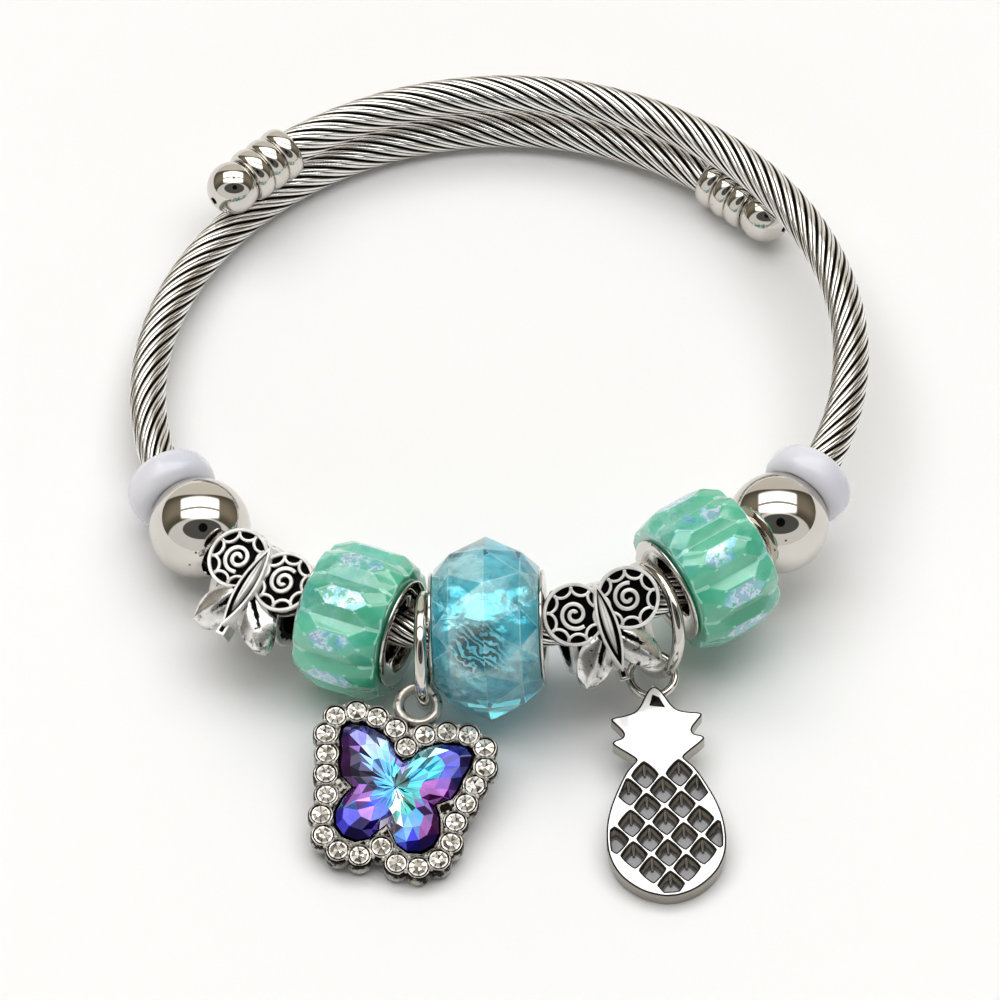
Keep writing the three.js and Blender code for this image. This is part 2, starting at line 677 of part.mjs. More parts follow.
function pineappleBody() {
  const p = pineapple;
  const plate = raised(fruitOutline(0), 0, p.plate, 0.18);
  const mirrored = crownHalf.map(([x, y]) => [-x, y]).reverse();
  const leaves = raised([...crownHalf, ...mirrored], 0.1, p.crownPlate + 0.1, 0.12);
  const neck = raised([[-1.8, 5.2], [1.8, 5.2], [1.8, 6.4], [-1.8, 6.4]], 0.15, p.plate - 0.15);
  const cells = [];
  const inside = toSolid(raised(fruitOutline(fruit.rim), p.plate - p.pit, p.plate + 1));
  for (let row = -4; row <= 3; row += 1) {
    for (let column = -3; column <= 3; column += 1) {
      if ((row + column) % 2 !== 0) continue;
      const x = fruit.middle[0] + column * fruit.pitchX;
      const y = fruit.middle[1] + row * fruit.pitchY;
      const [h, v] = [fruit.openX, fruit.openY];
      cells.push(raised([[x + h, y], [x, y + v], [x - h, y], [x, y - v]], p.plate - p.pit, p.plate + 1));
    }
  }
  const [holeX, holeY] = crownHole;
  const hole = raised([[holeX - 0.75, holeY - 0.7], [holeX + 0.8, holeY - 0.7], [holeX + 0.2, holeY + 0.75],
    [holeX - 0.35, holeY + 0.75]], -1, 3);
  const pits = joined(cells).intersect(inside);
  const loop = wireRing(bail.radius, bail.wire, 12, 6).rotateY(Math.PI / 2).translate(...bail.at);
  const charm = cut(joined([plate, leaves, neck]).subtract(pits), [hole]);
  return toGeometry(charm.add(toSolid(loop)));
}

// ---------------------------------------------------------------- placing

const bangle = new THREE.Group();

function add(name, geometry, material, matrix = new THREE.Matrix4()) {
  const mesh = new THREE.Mesh(closedBody(geometry), material);
  mesh.name = name;
  matrix.decompose(mesh.position, mesh.quaternion, mesh.scale);
  bangle.add(mesh);
}

function frameOf(origin, xAxis, roughlyZ) {
  const x = new THREE.Vector3(...xAxis).normalize();
  const y = new THREE.Vector3(...roughlyZ).cross(x).normalize();
  const z = new THREE.Vector3().crossVectors(x, y);
  return new THREE.Matrix4().makeBasis(x, y, z).setPosition(...origin);
}

add('cable', cableTube(), twistedSteel);

// A cap is straight, so it lies on the chord between its ball and its last rib.
for (const [side, along] of [['left', 1], ['right', -1]]) {
  const ball = coilPoint(cap.ballAngle[side]);
  const length = cap.ribsFrom + cap.ribs * cap.ribPitch;
  const lastRib = coilPoint(cap.ballAngle[side] + (along * length) / coil.radius);
  const capPlace = frameOf(ball.toArray(), lastRib.sub(ball).toArray(), [0, 0, 1]);
  add(`end_ball_${side}`, endBall(), polishedSteel, capPlace);
  add(`end_rings_${side}`, endRibs(), polishedSteel, capPlace);
}

for (const side of ['left', 'right']) {
  add(`stopper_${side}`, roundedRing(stopper.outer, stopper.bore, stopper.width, 0.8), milkyRubber,
    station(fromFront(stopper.places[side])));
  add(`steel_ball_${side}`, steelBallBody(), polishedSteel,
    station(fromFront(steelBall.places[side]), { sag: steelBall.sag[side], out: steelBall.out[side] }));
  const { yaw, roll, sag, out, places } = greenBead;
  const beadPlace = station(fromFront(places[side]),
    { yaw: yaw[side], roll: roll[side], sag: sag[side], out: out[side] });
  add(`green_bead_${side}`, greenBeadBody(), mintResin, beadPlace);
  add(`green_core_${side}`, eyelet(greenCore), polishedSteel, beadPlace);
  add(`butterfly_bead_${side}`, butterflyBeadBody(), antiqueSilver,
    station(fromFront(butterflyBead.places[side]),
      { roll: butterflyBead.roll[side], sag: butterflyBead.sag[side] }));
}

const bluePlace = station(fromFront(blueBead.place), { roll: blueBead.roll, sag: blueBead.sag });
add('blue_bead', blueBeadBody(), blueResin, bluePlace);
add('blue_foil', foilSleeve(), silverFoil, bluePlace);
add('blue_core', eyelet(blueCore), polishedSteel, bluePlace);

// The ring that carries the butterfly charm stands across the cable.
const hangerBody = wireRing(hanger.radius, hanger.wire, 16, 6).rotateY(Math.PI / 2);
const hangerLeftPlace = frameOf([-6.36, -31.1, 6.97], [1, -0.026, 0.059], [0, 0, 1]);
add('hanger_ring_butterfly', hangerBody, polishedSteel, hangerLeftPlace);

// The ring that carries the pineapple leans on the bead beside it.
const hangerRightPlace = frameOf([13.24, -26.85, 5.79], [0.854, 0.44, -0.277], [0, 0, 1]);
add('hanger_ring_pineapple', hangerBody, polishedSteel, hangerRightPlace);

// Charms lie on the plane, raised at the ring end.
function charmPlace(tilt, lean, anchor, anchorPlace) {
  const matrix = new THREE.Matrix4().makeRotationX(tilt * degree)
    .multiply(new THREE.Matrix4().makeRotationZ(lean * degree));
  const shift = new THREE.Vector3(...anchor).applyMatrix4(matrix);
  const move = new THREE.Vector3(...anchorPlace).sub(shift);
  return new THREE.Matrix4().makeTranslation(move.x, move.y, move.z).multiply(matrix);
}

const dropPlace = charmPlace(drop.tilt, drop.lean, [...charmLoop, drop.plate / 2], [-6.85, -35.42, 4.87]);
add('butterfly_charm', charmFrame(), antiqueSilver, dropPlace);
add('butterfly_crystal', crystalBody(), violetCrystal, dropPlace);
stonePlaces().forEach(([x, y], i) => {
  const seat = dropPlace.clone().multiply(
    new THREE.Matrix4().makeTranslation(x, y, drop.plate - 0.04));
  add(`stone_${String(i + 1).padStart(2, '0')}`, stoneBody((i * Math.PI) / 11), clearCrystal, seat);
});

const holePlace = [13.65, -34.0, 3.31];
const pineapplePlace = charmPlace(pineapple.tilt, pineapple.lean,
  [...crownHole, pineapple.crownPlate / 2 + 0.1], holePlace);
add('pineapple_charm', pineappleBody(), whiteSilver, pineapplePlace);

// The small ring runs through the bail behind the crown's tip.
const jumpRingPlace = pineapplePlace.clone()
  .multiply(new THREE.Matrix4().makeTranslation(...bail.at))
  .multiply(new THREE.Matrix4().makeRotationX(jumpRing.rise * degree))
  .multiply(new THREE.Matrix4().makeTranslation(0, jumpRing.radius, 0));
add('jump_ring', wireRing(jumpRing.radius, jumpRing.wire, 14, 6), polishedSteel, jumpRingPlace);

// The origin goes to the middle of the underside.
bangle.updateMatrixWorld(true);
const reach = new THREE.Box3().setFromObject(bangle, true);
bangle.position.set(-(reach.min.x + reach.max.x) / 2, -(reach.min.y + reach.max.y) / 2, -reach.min.z);
bangle.updateMatrixWorld(true);

export default bangle;
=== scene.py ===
import math
import random

import bpy
from mathutils import Matrix, Vector, noise


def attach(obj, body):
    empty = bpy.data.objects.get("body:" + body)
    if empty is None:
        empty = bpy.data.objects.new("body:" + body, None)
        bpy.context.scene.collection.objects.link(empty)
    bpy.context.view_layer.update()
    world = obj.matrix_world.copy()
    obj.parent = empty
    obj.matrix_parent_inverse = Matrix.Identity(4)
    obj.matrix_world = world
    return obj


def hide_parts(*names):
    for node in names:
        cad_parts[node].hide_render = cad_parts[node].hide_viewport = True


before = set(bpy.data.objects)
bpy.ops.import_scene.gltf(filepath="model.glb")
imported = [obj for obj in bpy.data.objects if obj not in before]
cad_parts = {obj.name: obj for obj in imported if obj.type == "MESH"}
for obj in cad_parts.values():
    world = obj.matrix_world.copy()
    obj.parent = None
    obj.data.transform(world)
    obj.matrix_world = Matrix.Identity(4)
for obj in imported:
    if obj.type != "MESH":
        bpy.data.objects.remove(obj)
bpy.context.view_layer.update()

# Pieces are modelled in millimetres about their own middle, and brought to
# metres and to their place on the bangle when they are finished.
mm = 0.001
originShift = Vector((0.0286, 10.9185, 0.0078))  # from the coil's own axis to the frame's origin
bothSides = ("Left", "Right")


# Selecting and editing

def deselectAll():
    if bpy.context.object and bpy.context.object.mode != "OBJECT":
        bpy.ops.object.mode_set(mode="OBJECT")
    bpy.ops.object.select_all(action="DESELECT")


def pick(*pieces):
    deselectAll()
    for piece in pieces:
        piece.select_set(True)
    bpy.context.view_layer.objects.active = pieces[0]


def named(name):
    # gives the piece that was just made its name
    piece = bpy.context.object
    piece.name = name
    piece.data.name = name
    return piece


def editAll(piece):
    pick(piece)
    bpy.ops.object.mode_set(mode="EDIT")
    bpy.ops.mesh.select_all(action="SELECT")


def leaveEdit():
    bpy.ops.object.mode_set(mode="OBJECT")


def closeShell(merge=0):
    # merges points closer than that, turns the faces outwards and leaves edit mode
    bpy.ops.mesh.select_all(action="SELECT")
    if merge:
        bpy.ops.mesh.remove_doubles(threshold=merge)
    bpy.ops.mesh.normals_make_consistent(inside=False)
    leaveEdit()


def selectFaces(piece, wanted):
    # selects faces by a test on their middle and normal, and stays in edit mode
    pick(piece)
    bpy.ops.object.mode_set(mode="EDIT")
    bpy.ops.mesh.select_mode(type="FACE")
    bpy.ops.mesh.select_all(action="DESELECT")
    bpy.ops.object.mode_set(mode="OBJECT")
    for face in piece.data.polygons:
        face.select = bool(wanted(face.center, face.normal))
    bpy.ops.object.mode_set(mode="EDIT")


def topFaces(piece, height):
    selectFaces(piece, lambda middle, normal: normal.z > 0.9 and abs(middle.z - height) < 0.01)


def extrudeUp(height):
    bpy.ops.mesh.extrude_region_move(TRANSFORM_OT_translate={"value": (0, 0, height)})


def shrink(across, along, centre):
    bpy.ops.transform.resize(value=(across, along, 1), center_override=centre)


def smoothBy(piece, degrees):
    pick(piece)
    bpy.ops.object.shade_smooth_by_angle(angle=math.radians(degrees))


def bevelled(piece, width, segments=2, degrees=30):
    pick(piece)
    bevel = piece.modifiers.new("softEdges", "BEVEL")
    bevel.width = width
    bevel.segments = segments
    bevel.limit_method = "ANGLE"
    bevel.angle_limit = math.radians(degrees)
    bevel.harden_normals = False
    bpy.ops.object.modifier_apply(modifier=bevel.name)


def carve(piece, tool, operation="DIFFERENCE"):
    pick(piece)
    modifier = piece.modifiers.new("carve", "BOOLEAN")
    modifier.operation = operation
    modifier.solver = "EXACT"
    modifier.object = tool
    bpy.ops.object.modifier_apply(modifier=modifier.name)
    bpy.data.objects.remove(tool)


def joinedPiece(name, parts):
    pick(*parts)
    bpy.ops.object.join()
    return named(name)


def copyOf(piece, name):
    twin = piece.copy()
    twin.data = piece.data.copy()
    twin.name = name
    twin.data.name = name
    bpy.context.collection.objects.link(twin)
    return twin


def finishPiece(piece, place, material, node):
    # brings a piece modelled in millimetres to its place, in its mesh, gives it its material, hangs it under
    # the root and hides the node it stands in for
    pick(piece)
    piece.matrix_world = Matrix.Scale(mm, 4) @ place
    bpy.ops.object.transform_apply(location=True, rotation=True, scale=True)
    piece.data.materials.clear()
    piece.data.materials.append(material)
    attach(piece, "root")
    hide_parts(node)


def setValues(piece, name, values):
    # one value from 0 to 1 at each point
    mark = piece.data.attributes.get(name) or piece.data.attributes.new(name, "FLOAT", "POINT")
    mark.data.foreach_set("value", [min(max(value, 0), 1) for value in values])


def markRelief(piece, rule):
    # 0 in the blackened depths, 1 on the worn heights; on the pineapple the top value is the face painted
    # white as a reflection
    setValues(piece, "relief", [rule(vertex.co) for vertex in piece.data.vertices])


def markFaces(piece, name, rule):
    # one value for each face, from the face, its distance from X and how squarely it looks away from X
    mark = piece.data.attributes.new(name, "FLOAT", "CORNER")
    for face in piece.data.polygons:
        y, z = face.center.y, face.center.z
        radius = max(math.hypot(y, z), 0.001)
        value = rule(face, radius, (face.normal.y * y + face.normal.z * z) / radius)
        for corner in face.loop_indices:
            mark.data[corner].value = value


# Outlines and the plain forms made from them

def sweep(first, last, steps):
    # evenly spaced values, both ends included
    return [first + (last - first) * i / steps for i in range(steps + 1)]


def beside(before, point, after, distance):
    # a point to the left of a line that runs through it from before to after
    alongX, alongY = after[0] - before[0], after[1] - before[1]
    share = distance / math.hypot(alongX, alongY)
    return point[0] - alongY * share, point[1] + alongX * share


def bothHalves(half):
    # from a right half, whose first and last points lie on the middle line
    inner = half[1:-1]
    return [half[0]] + [(-x, y) for x, y in inner] + [half[-1]] + list(reversed(inner))


def scaledOutline(points, factor, middle):
    return [(x * factor, (y - middle) * factor + middle) for x, y in points]


def grownOutline(points, growth):
    # the outline moved outwards; its points run against the clock
    after = points[1:] + points[:1]
    return [beside(points[i - 1], point, after[i], -growth) for i, point in enumerate(points)]


def smoothOutline(points, count):
    # a closed curve through the points, evenly sampled
    last = len(points)
    rounded = []
    for i in range(count):
        t = i / count * last
        k = int(t)
        u = t - k
        p0, p1, p2, p3 = (Vector(points[(k + n) % last]) for n in (-1, 0, 1, 2))
        rounded.append(tuple(0.5 * (2 * p1 + (p2 - p0) * u + (2 * p0 - 5 * p1 + 4 * p2 - p3) * u * u
                                    + (3 * p1 - p0 - 3 * p2 + p3) * u ** 3)))
    return rounded


def discOutline(x, y, radius, count):
    return [(x + radius * math.cos(angle), y + radius * math.sin(angle))
            for angle in sweep(0, 2 * math.pi, count)[:-1]]


def lensOutline(middleY, long, wide, count=20):
    # pointed at the top and the bottom
    right = [(wide / 2 * math.sin(math.pi * along) ** 0.85, middleY + long * (0.5 - along))
             for along in sweep(0, 1, count)[1:-1]]
    left = [(-x, y) for x, y in reversed(right)]
    return [(0, middleY + long / 2)] + right + [(0, middleY - long / 2)] + left


def diamondOutline(x, y, halfWide, halfHigh, count=32, power=1.2):
    # a diamond with softly bowed sides
    outline = []
    for angle in sweep(0, 2 * math.pi, count)[:-1]:
        c, s = math.cos(angle), math.sin(angle)
        outline.append((x + halfWide * math.copysign(abs(c) ** (2 / power), c),
                        y + halfHigh * math.copysign(abs(s) ** (2 / power), s)))
    return outline


def rectangle(low, high):
    return [low, (high[0], low[1]), high, (low[0], high[1])]


def turnedPiece(name, profile, steps=48, smooth=35):
    # a row of [x, radius] drawn point by point and spun about X
    deselectAll()
    bpy.ops.mesh.primitive_plane_add(size=1)
    piece = named(name)
    bpy.ops.object.mode_set(mode="EDIT")
    bpy.ops.mesh.select_mode(type="VERT")
    bpy.ops.mesh.select_all(action="SELECT")
    bpy.ops.mesh.merge(type="CENTER")
    bpy.ops.transform.translate(value=(profile[0][0], 0, profile[0][1]))
    for before, after in zip(profile, profile[1:]):
        step = (after[0] - before[0], 0, after[1] - before[1])
        bpy.ops.mesh.extrude_vertices_move(TRANSFORM_OT_translate={"value": step})
    bpy.ops.mesh.select_all(action="SELECT")
    bpy.ops.mesh.spin(steps=steps, angle=2 * math.pi, center=(0, 0, 0), axis=(1, 0, 0))
    closeShell(0.0005)
    smoothBy(piece, smooth)
    return piece


def plateFrom(name, outline, low, high):
    # an outline in XY, filled and raised from low to high
    deselectAll()
    bpy.ops.mesh.primitive_circle_add(vertices=len(outline), radius=1, fill_type="NGON")
    piece = named(name)
    for vertex, (x, y) in zip(piece.data.vertices, outline):
        vertex.co = (x, y, low)
    editAll(piece)
    extrudeUp(high - low)
    closeShell()
    return piece


def bandPlate(name, points, width, low, high):
    # a flat raised line of the given width along a row of points
    ends = points[:1] + points + points[-1:]
    rows = list(zip(ends, points, ends[2:]))
    left = [beside(before, point, after, width / 2) for before, point, after in rows]
    right = [beside(before, point, after, -width / 2) for before, point, after in rows]
    return plateFrom(name, left + right[::-1], low, high)


def flatRing(name, x, y, outer, inner, low, high):
    # a flat ring about Z with softened edges
    soft = min(0.06, (outer - inner) / 4)
    ring = turnedPiece(name, [(low, inner), (low, outer), (high - soft, outer), (high, outer - soft),
                              (high, inner + soft), (high - soft, inner), (low, inner)], 64)
    ring.data.transform(Matrix.Translation((x, y, 0)) @ Matrix.Rotation(-math.pi / 2, 4, "Y"))
    return ring


def castRing(name, radius, wire):
    # a closed ring about Z
    deselectAll()
    bpy.ops.mesh.primitive_torus_add(major_radius=radius, minor_radius=wire,
                                     major_segments=110, minor_segments=20)
    ring = named(name)
    smoothBy(ring, 40)
    return ring


def wireRing(name, radius, wire):
    # a round wire spun about Z, its two ends almost meeting in a hairline seam
    deselectAll()
    bpy.ops.mesh.primitive_circle_add(vertices=20, radius=wire, fill_type="NGON",
                                      location=(0, radius, 0), rotation=(0, math.pi / 2, 0))
    bpy.ops.object.transform_apply(location=True, rotation=True, scale=True)
    piece = named(name)
    editAll(piece)
    bpy.ops.mesh.spin(steps=110, angle=math.radians(358.8), center=(0, 0, 0), axis=(0, 0, 1))
    closeShell(0.0005)
    smoothBy(piece, 40)
    return piece


def polyLine(name, points):
    curve = bpy.data.curves.new(name, "CURVE")
    curve.dimensions = "3D"
    line = curve.splines.new("POLY")
    line.points.add(len(points) - 1)
    for onLine, point in zip(line.points, points):
        onLine.co = (*point, 1)
    holder = bpy.data.objects.new(name, curve)
    bpy.context.collection.objects.link(holder)
    return holder


def wireAlong(name, points, radius):
    # a round wire through a row of points
    piece = polyLine(name, points)
    piece.data.bevel_depth = radius
    piece.data.bevel_resolution = 2
    piece.data.use_fill_caps = True
    pick(piece)
    bpy.ops.object.convert(target="MESH")
    piece = bpy.context.object
    editAll(piece)
    closeShell(0.002)
    smoothBy(piece, 50)
    return piece


# Node trees

class Wiring:
    # short ways to add and link the nodes of one tree
    def __init__(self, tree):
        self.tree = tree

    def node(self, kind, **values):
        made = self.tree.nodes.new(kind)
        for key, value in values.items():
            setattr(made, key, value)
        return made

    def link(self, source, target):
        self.tree.links.new(source, target)

    def feed(self, socket, value):
        if isinstance(value, (int, float)):
            socket.default_value = value
        elif isinstance(value, tuple):
            socket.default_value = (*value, 1)
        else:
            self.link(value, socket)

    def feedAll(self, made, **values):
        for name, value in values.items():
            self.feed(made.inputs[name], value)

    def place(self):
        return self.node("ShaderNodeTexCoord").outputs["Object"]

    def noise(self, scale, detail=3.0, roughness=0.55):
        made = self.node("ShaderNodeTexNoise")
        self.feedAll(made, Scale=scale, Detail=detail, Roughness=roughness, Vector=self.place())
        return made.outputs["Fac"]

    def cells(self, scale):
        made = self.node("ShaderNodeTexVoronoi", feature="F1")
        self.feedAll(made, Scale=scale, Vector=self.place())
        return made.outputs["Distance"]

    def ramp(self, value, *stops):
        made = self.node("ShaderNodeValToRGB")
        elements = made.color_ramp.elements
        while len(elements) < len(stops):
            elements.new(0.5)
        for element, (position, color) in zip(elements, stops):
            element.position = position
            element.color = (*color, 1)
        self.link(value, made.inputs["Fac"])
        return made.outputs["Color"]

    def levels(self, value, *stops):
        return self.ramp(value, *[(position, (level, level, level)) for position, level in stops])

    def spread(self, value, fromLow, fromHigh, low=0, high=1, curve="LINEAR"):
        made = self.node("ShaderNodeMapRange", interpolation_type=curve)
        for socket, number in zip(("Value", "From Min", "From Max", "To Min", "To Max"),
                                  (value, fromLow, fromHigh, low, high)):
            self.feed(made.inputs[socket], number)
        return made.outputs["Result"]

    def mix(self, factor, first, second, blend="MIX"):
        made = self.node("ShaderNodeMix", data_type="RGBA", blend_type=blend)
        for socket, value in ((0, factor), (6, first), (7, second)):
            self.feed(made.inputs[socket], value)
        return made.outputs[2]

    def math(self, operation, *values):
        made = self.node("ShaderNodeMath", operation=operation)
        for socket, value in zip(made.inputs, values):
            self.feed(socket, value)
        return made.outputs[0]

    def attribute(self, name):
        return self.node("ShaderNodeAttribute", attribute_name=name).outputs["Fac"]


# Camera, light and floor

view = {"elevation": 53.0, "distance": 900.0, "width": 86.2, "target": (0.2686, -2.4115, 5.0078)}


def addCamera():
    camera = bpy.data.cameras.new("camera")
    camera.type = "ORTHO"
    camera.ortho_scale = view["width"] * mm
    camera.clip_start = 0.05
    camera.clip_end = 20
    holder = bpy.data.objects.new("camera", camera)
    bpy.context.collection.objects.link(holder)
    rise = math.radians(view["elevation"])
    away = Vector((0, -math.cos(rise), math.sin(rise))) * view["distance"]
    holder.location = (Vector(view["target"]) + away) * mm
    holder.rotation_euler = (math.pi / 2 - rise, 0, 0)
    bpy.context.scene.camera = holder


# Lengths are shares of the mirror ball's radius; an oval is its middle and its reach across and up.
studio = {
    "softboxAcross": 0.37, "softboxLow": 0.20, "softboxHigh": 0.62, "softboxBow": 0.45,
    "softboxColor": (1.0, 0.99, 0.975), "softboxStrength": 3.3,
    "seamLow": 0.385, "seamHigh": 0.43, "seamColor": (0.45, 0.43, 0.40),
    "wall": (0.80, 0.79, 0.77), "backWall": (0.74, 0.70, 0.63),
    "ceilingEdge": (0.10, 0.088, 0.068), "ceiling": (0.27, 0.235, 0.175),
    "ceilingOval": (0, 0.05, 0.83, 0.61), "frontOval": (0, -0.2, 0.63, 0.41),
    "shadeOval": (0.04, -0.02, 0.38, 0.20), "cameraShade": (0.10, 0.10, 0.095),
    "spotOval": (0.06, 0.01, 0.09, 0.09), "cameraSpot": (0.006, 0.006, 0.006),
    "floorSize": 6, "floor": (0.86, 0.862, 0.87),
}


def addSurroundings():
    # They are drawn as a mirror ball at the bangle shows them: a pale wall,
    # a darker ceiling with a softbox, and a shaded patch in front.
    world = bpy.data.worlds.new("studio")
    world.use_nodes = True
    bpy.context.scene.world = world
    sky = Wiring(world.node_tree)
    direction = sky.node("ShaderNodeTexCoord").outputs["Generated"]

    def along(axis):
        made = sky.node("ShaderNodeVectorMath", operation="DOT_PRODUCT")
        made.inputs[1].default_value = axis
        sky.link(direction, made.inputs[0])
        return made.outputs["Value"]

    def above(value, edge, soft):
        return sky.spread(value, edge - soft, edge + soft, curve="SMOOTHSTEP")

    def below(value, edge, soft):
        return sky.math("SUBTRACT", 1, above(value, edge, soft))

    def overlap(*masks):
        whole = masks[0]
        for mask in masks[1:]:
            whole = sky.math("MULTIPLY", whole, mask)
        return whole

    def oval(name, power=2):
        # 1 along its edge, less inside
        middleX, middleY, reachX, reachY = studio[name]
        fromX = sky.math("ABSOLUTE", sky.math("DIVIDE", sky.math("SUBTRACT", ballX, middleX), reachX))
        fromY = sky.math("ABSOLUTE", sky.math("DIVIDE", sky.math("SUBTRACT", ballY, middleY), reachY))
        return sky.math("ADD", sky.math("POWER", fromX, power), sky.math("POWER", fromY, power))

    # where on the ball a direction shows: X to the right, Y up
    rise = math.radians(view["elevation"])
    toCamera = along((0, -math.cos(rise), math.sin(rise)))
    half = sky.math("SQRT", sky.math("ADD", 2.0001, sky.math("MULTIPLY", toCamera, 2)))
    ballX = sky.math("DIVIDE", along((1, 0, 0)), half)
    ballY = sky.math("DIVIDE", along((0, math.sin(rise), math.cos(rise))), half)
    aside = sky.math("ABSOLUTE", ballX)

    bowed = sky.math("ADD", ballY, sky.math("MULTIPLY", studio["softboxBow"], sky.math("POWER", aside, 2)))
    softbox = overlap(below(aside, studio["softboxAcross"], 0.03), above(ballY, studio["softboxLow"], 0.05),
                      below(bowed, studio["softboxHigh"], 0.04))
    seam = overlap(softbox, above(bowed, studio["seamLow"], 0.008), below(bowed, studio["seamHigh"], 0.008))
    ceiling, front = oval("ceilingOval", 3), oval("frontOval")
    sideEdge = sky.math("ADD", aside, sky.math("MULTIPLY", 0.34, sky.math("SUBTRACT", 0.3, ballY)))
    inCeiling = overlap(below(ceiling, 1, 0.05), above(front, 1, 0.06), below(sideEdge, 0.82, 0.02),
                        above(ballY, -0.3, 0.03))
    middleOfCeiling = overlap(below(ceiling, 0.62, 0.3), above(front, 1.6, 0.5))

    color = sky.mix(above(ballY, 0.3, 0.2), studio["wall"], studio["backWall"])
    color = sky.mix(inCeiling, color, sky.mix(middleOfCeiling, studio["ceilingEdge"], studio["ceiling"]))
    color = sky.mix(below(oval("shadeOval"), 1, 0.06), color, studio["cameraShade"])
    color = sky.mix(below(oval("spotOval"), 1, 0.2), color, studio["cameraSpot"])
    color = sky.mix(softbox, color, studio["softboxColor"])
    color = sky.mix(seam, color, studio["seamColor"])
    bright = sky.math("SUBTRACT", softbox, seam)
    strength = sky.math("ADD", 1, sky.math("MULTIPLY", bright, studio["softboxStrength"] - 1))
    sky.feedAll(world.node_tree.nodes["Background"], Color=color, Strength=strength)


def addFloor():
    deselectAll()
    bpy.ops.mesh.primitive_plane_add(size=studio["floorSize"], location=(0, 0, 0))
    floor = named("floor")
    paper = bpy.data.materials.new("floorPaper")
    paper.use_nodes = True
    shader = paper.node_tree.nodes["Principled BSDF"]
    shader.inputs["Base Color"].default_value = (*studio["floor"], 1)
    shader.inputs["Roughness"].default_value = 0.8
    shader.inputs["Specular IOR Level"].default_value = 0.2
    floor.data.materials.append(paper)


addCamera()
addSurroundings()
addFloor()
bpy.context.scene.view_settings.view_transform = "Standard"
print("camera, light and floor")


# Materials

class Recipe(Wiring):
    # a material with its one shader
    def __init__(self, name, color, metallic, roughness):
        self.material = bpy.data.materials.new(name)
        self.material.use_nodes = True
        super().__init__(self.material.node_tree)
        self.shader = self.tree.nodes["Principled BSDF"]
        self.set("Base Color", (*color, 1))
        self.set("Metallic", metallic)
        self.set("Roughness", roughness)

    def set(self, socket, value):
        self.shader.inputs[socket].default_value = value

    def drive(self, socket, source):
        self.link(source, self.shader.inputs[socket])

    def bump(self, height, strength, distance):
        made = self.node("ShaderNodeBump")
        made.inputs["Strength"].default_value = strength
        made.inputs["Distance"].default_value = distance
        self.link(height, made.inputs["Height"])
        self.drive("Normal", made.outputs["Normal"])

    def shared(self, group, **values):
        made = self.node("ShaderNodeGroup", node_tree=group)
        self.feedAll(made, **values)
        return made.outputs


def sharedTree(name, inputs, outputs):
    # an effect for several materials, with named sockets
    tree = bpy.data.node_groups.new(name, "ShaderNodeTree")
    for names, way in ((inputs, "INPUT"), (outputs, "OUTPUT")):
        for socket, kind in names.items():
            tree.interface.new_socket(socket, in_out=way, socket_type="NodeSocket" + kind)
    wiring = Wiring(tree)
    return wiring, wiring.node("NodeGroupInput").outputs, wiring.node("NodeGroupOutput").inputs


def castGrainGroup():
    # fine grain over the relief, so that wear breaks up along its edges
    grain, given, result = sharedTree("castGrain", {"Relief": "Float", "Scale": "Float", "Reach": "Float"},
                                      {"Worn": "Float", "Grain": "Float"})
    fine = grain.noise(given["Scale"], 4, 0.6)
    reach = grain.math("MULTIPLY", grain.spread(fine, 0.3, 0.7, -1, 1), given["Reach"])
    grain.link(grain.math("ADD", given["Relief"], reach), result["Worn"])
    grain.link(fine, result["Grain"])
    return grain.tree


def cloudingGroup():
    # a slow change between two tones of one metal
    cloud, given, result = sharedTree("clouding", {"Light": "Color", "Dark": "Color", "Scale": "Float"},
                                      {"Color": "Color"})
    share = cloud.spread(cloud.noise(given["Scale"], 3), 0.35, 0.65)
    cloud.link(cloud.mix(share, given["Light"], given["Dark"]), result["Color"])
    return cloud.tree


def hazeGroup():
    # faint handling wear in the polish
    haze, given, result = sharedTree("haze", {"Scale": "Float", "Low": "Float", "High": "Float"},
                                     {"Roughness": "Float"})
    wear = haze.spread(haze.noise(given["Scale"], 4), 0.35, 0.75, given["Low"], given["High"])
    haze.link(wear, result["Roughness"])
    return haze.tree


castGrain, clouding, haze = castGrainGroup(), cloudingGroup(), hazeGroup()


def darker(color, share):
    return tuple(share * part for part in color)


def polishedSteelMaterial():
    # mirror bright, with a few pits
    color = (0.70, 0.67, 0.62)
    steel = Recipe("polishedSteel", color, 1.0, 0.04)
    steel.drive("Roughness", steel.shared(haze, Scale=900, Low=0.025, High=0.065)["Roughness"])
    chosen = steel.spread(steel.noise(300, 1), 0.54, 0.58)
    pit = steel.math("MULTIPLY", steel.spread(steel.cells(800), 0.05, 0.12, 1, 0), chosen)
    cloud = steel.shared(clouding, Light=color, Dark=darker(color, 0.88), Scale=160)["Color"]
    steel.drive("Base Color", steel.mix(pit, cloud, (0.03, 0.028, 0.025)))
    steel.bump(steel.noise(420, 2), 0.06, 0.00003)
    return steel.material


def twistedSteelMaterial():
    # wires with painted shade in the gaps between them, and painted light and dark reflection bands along
    # each wire
    steel = Recipe("twistedSteel", (0.62, 0.58, 0.53), 1.0, 0.16)
    height = steel.attribute("relief")
    bright = steel.shared(clouding, Light=(0.82, 0.79, 0.74), Dark=(1.0, 0.99, 0.97), Scale=240)["Color"]
    # painted light: black in the gaps between wires, then dark, lighter and dark bands, and white on each
    # wire's top, standing in for shade and reflections
    wire = steel.ramp(height, (0.30, (0, 0, 0)), (0.50, (0.015, 0.013, 0.010)), (0.62, (0.22, 0.20, 0.16)),
                      (0.72, (0.02, 0.018, 0.015)), (0.77, (0.06, 0.055, 0.045)), (0.85, (1, 1, 1)))
    steel.drive("Base Color", steel.mix(1.0, wire, bright, "MULTIPLY"))
    steel.drive("Roughness", steel.spread(height, 0.3, 0.9, 0.45, 0.22))
    steel.bump(steel.noise(2400, 3), 0.1, 0.00003)
    return steel.material


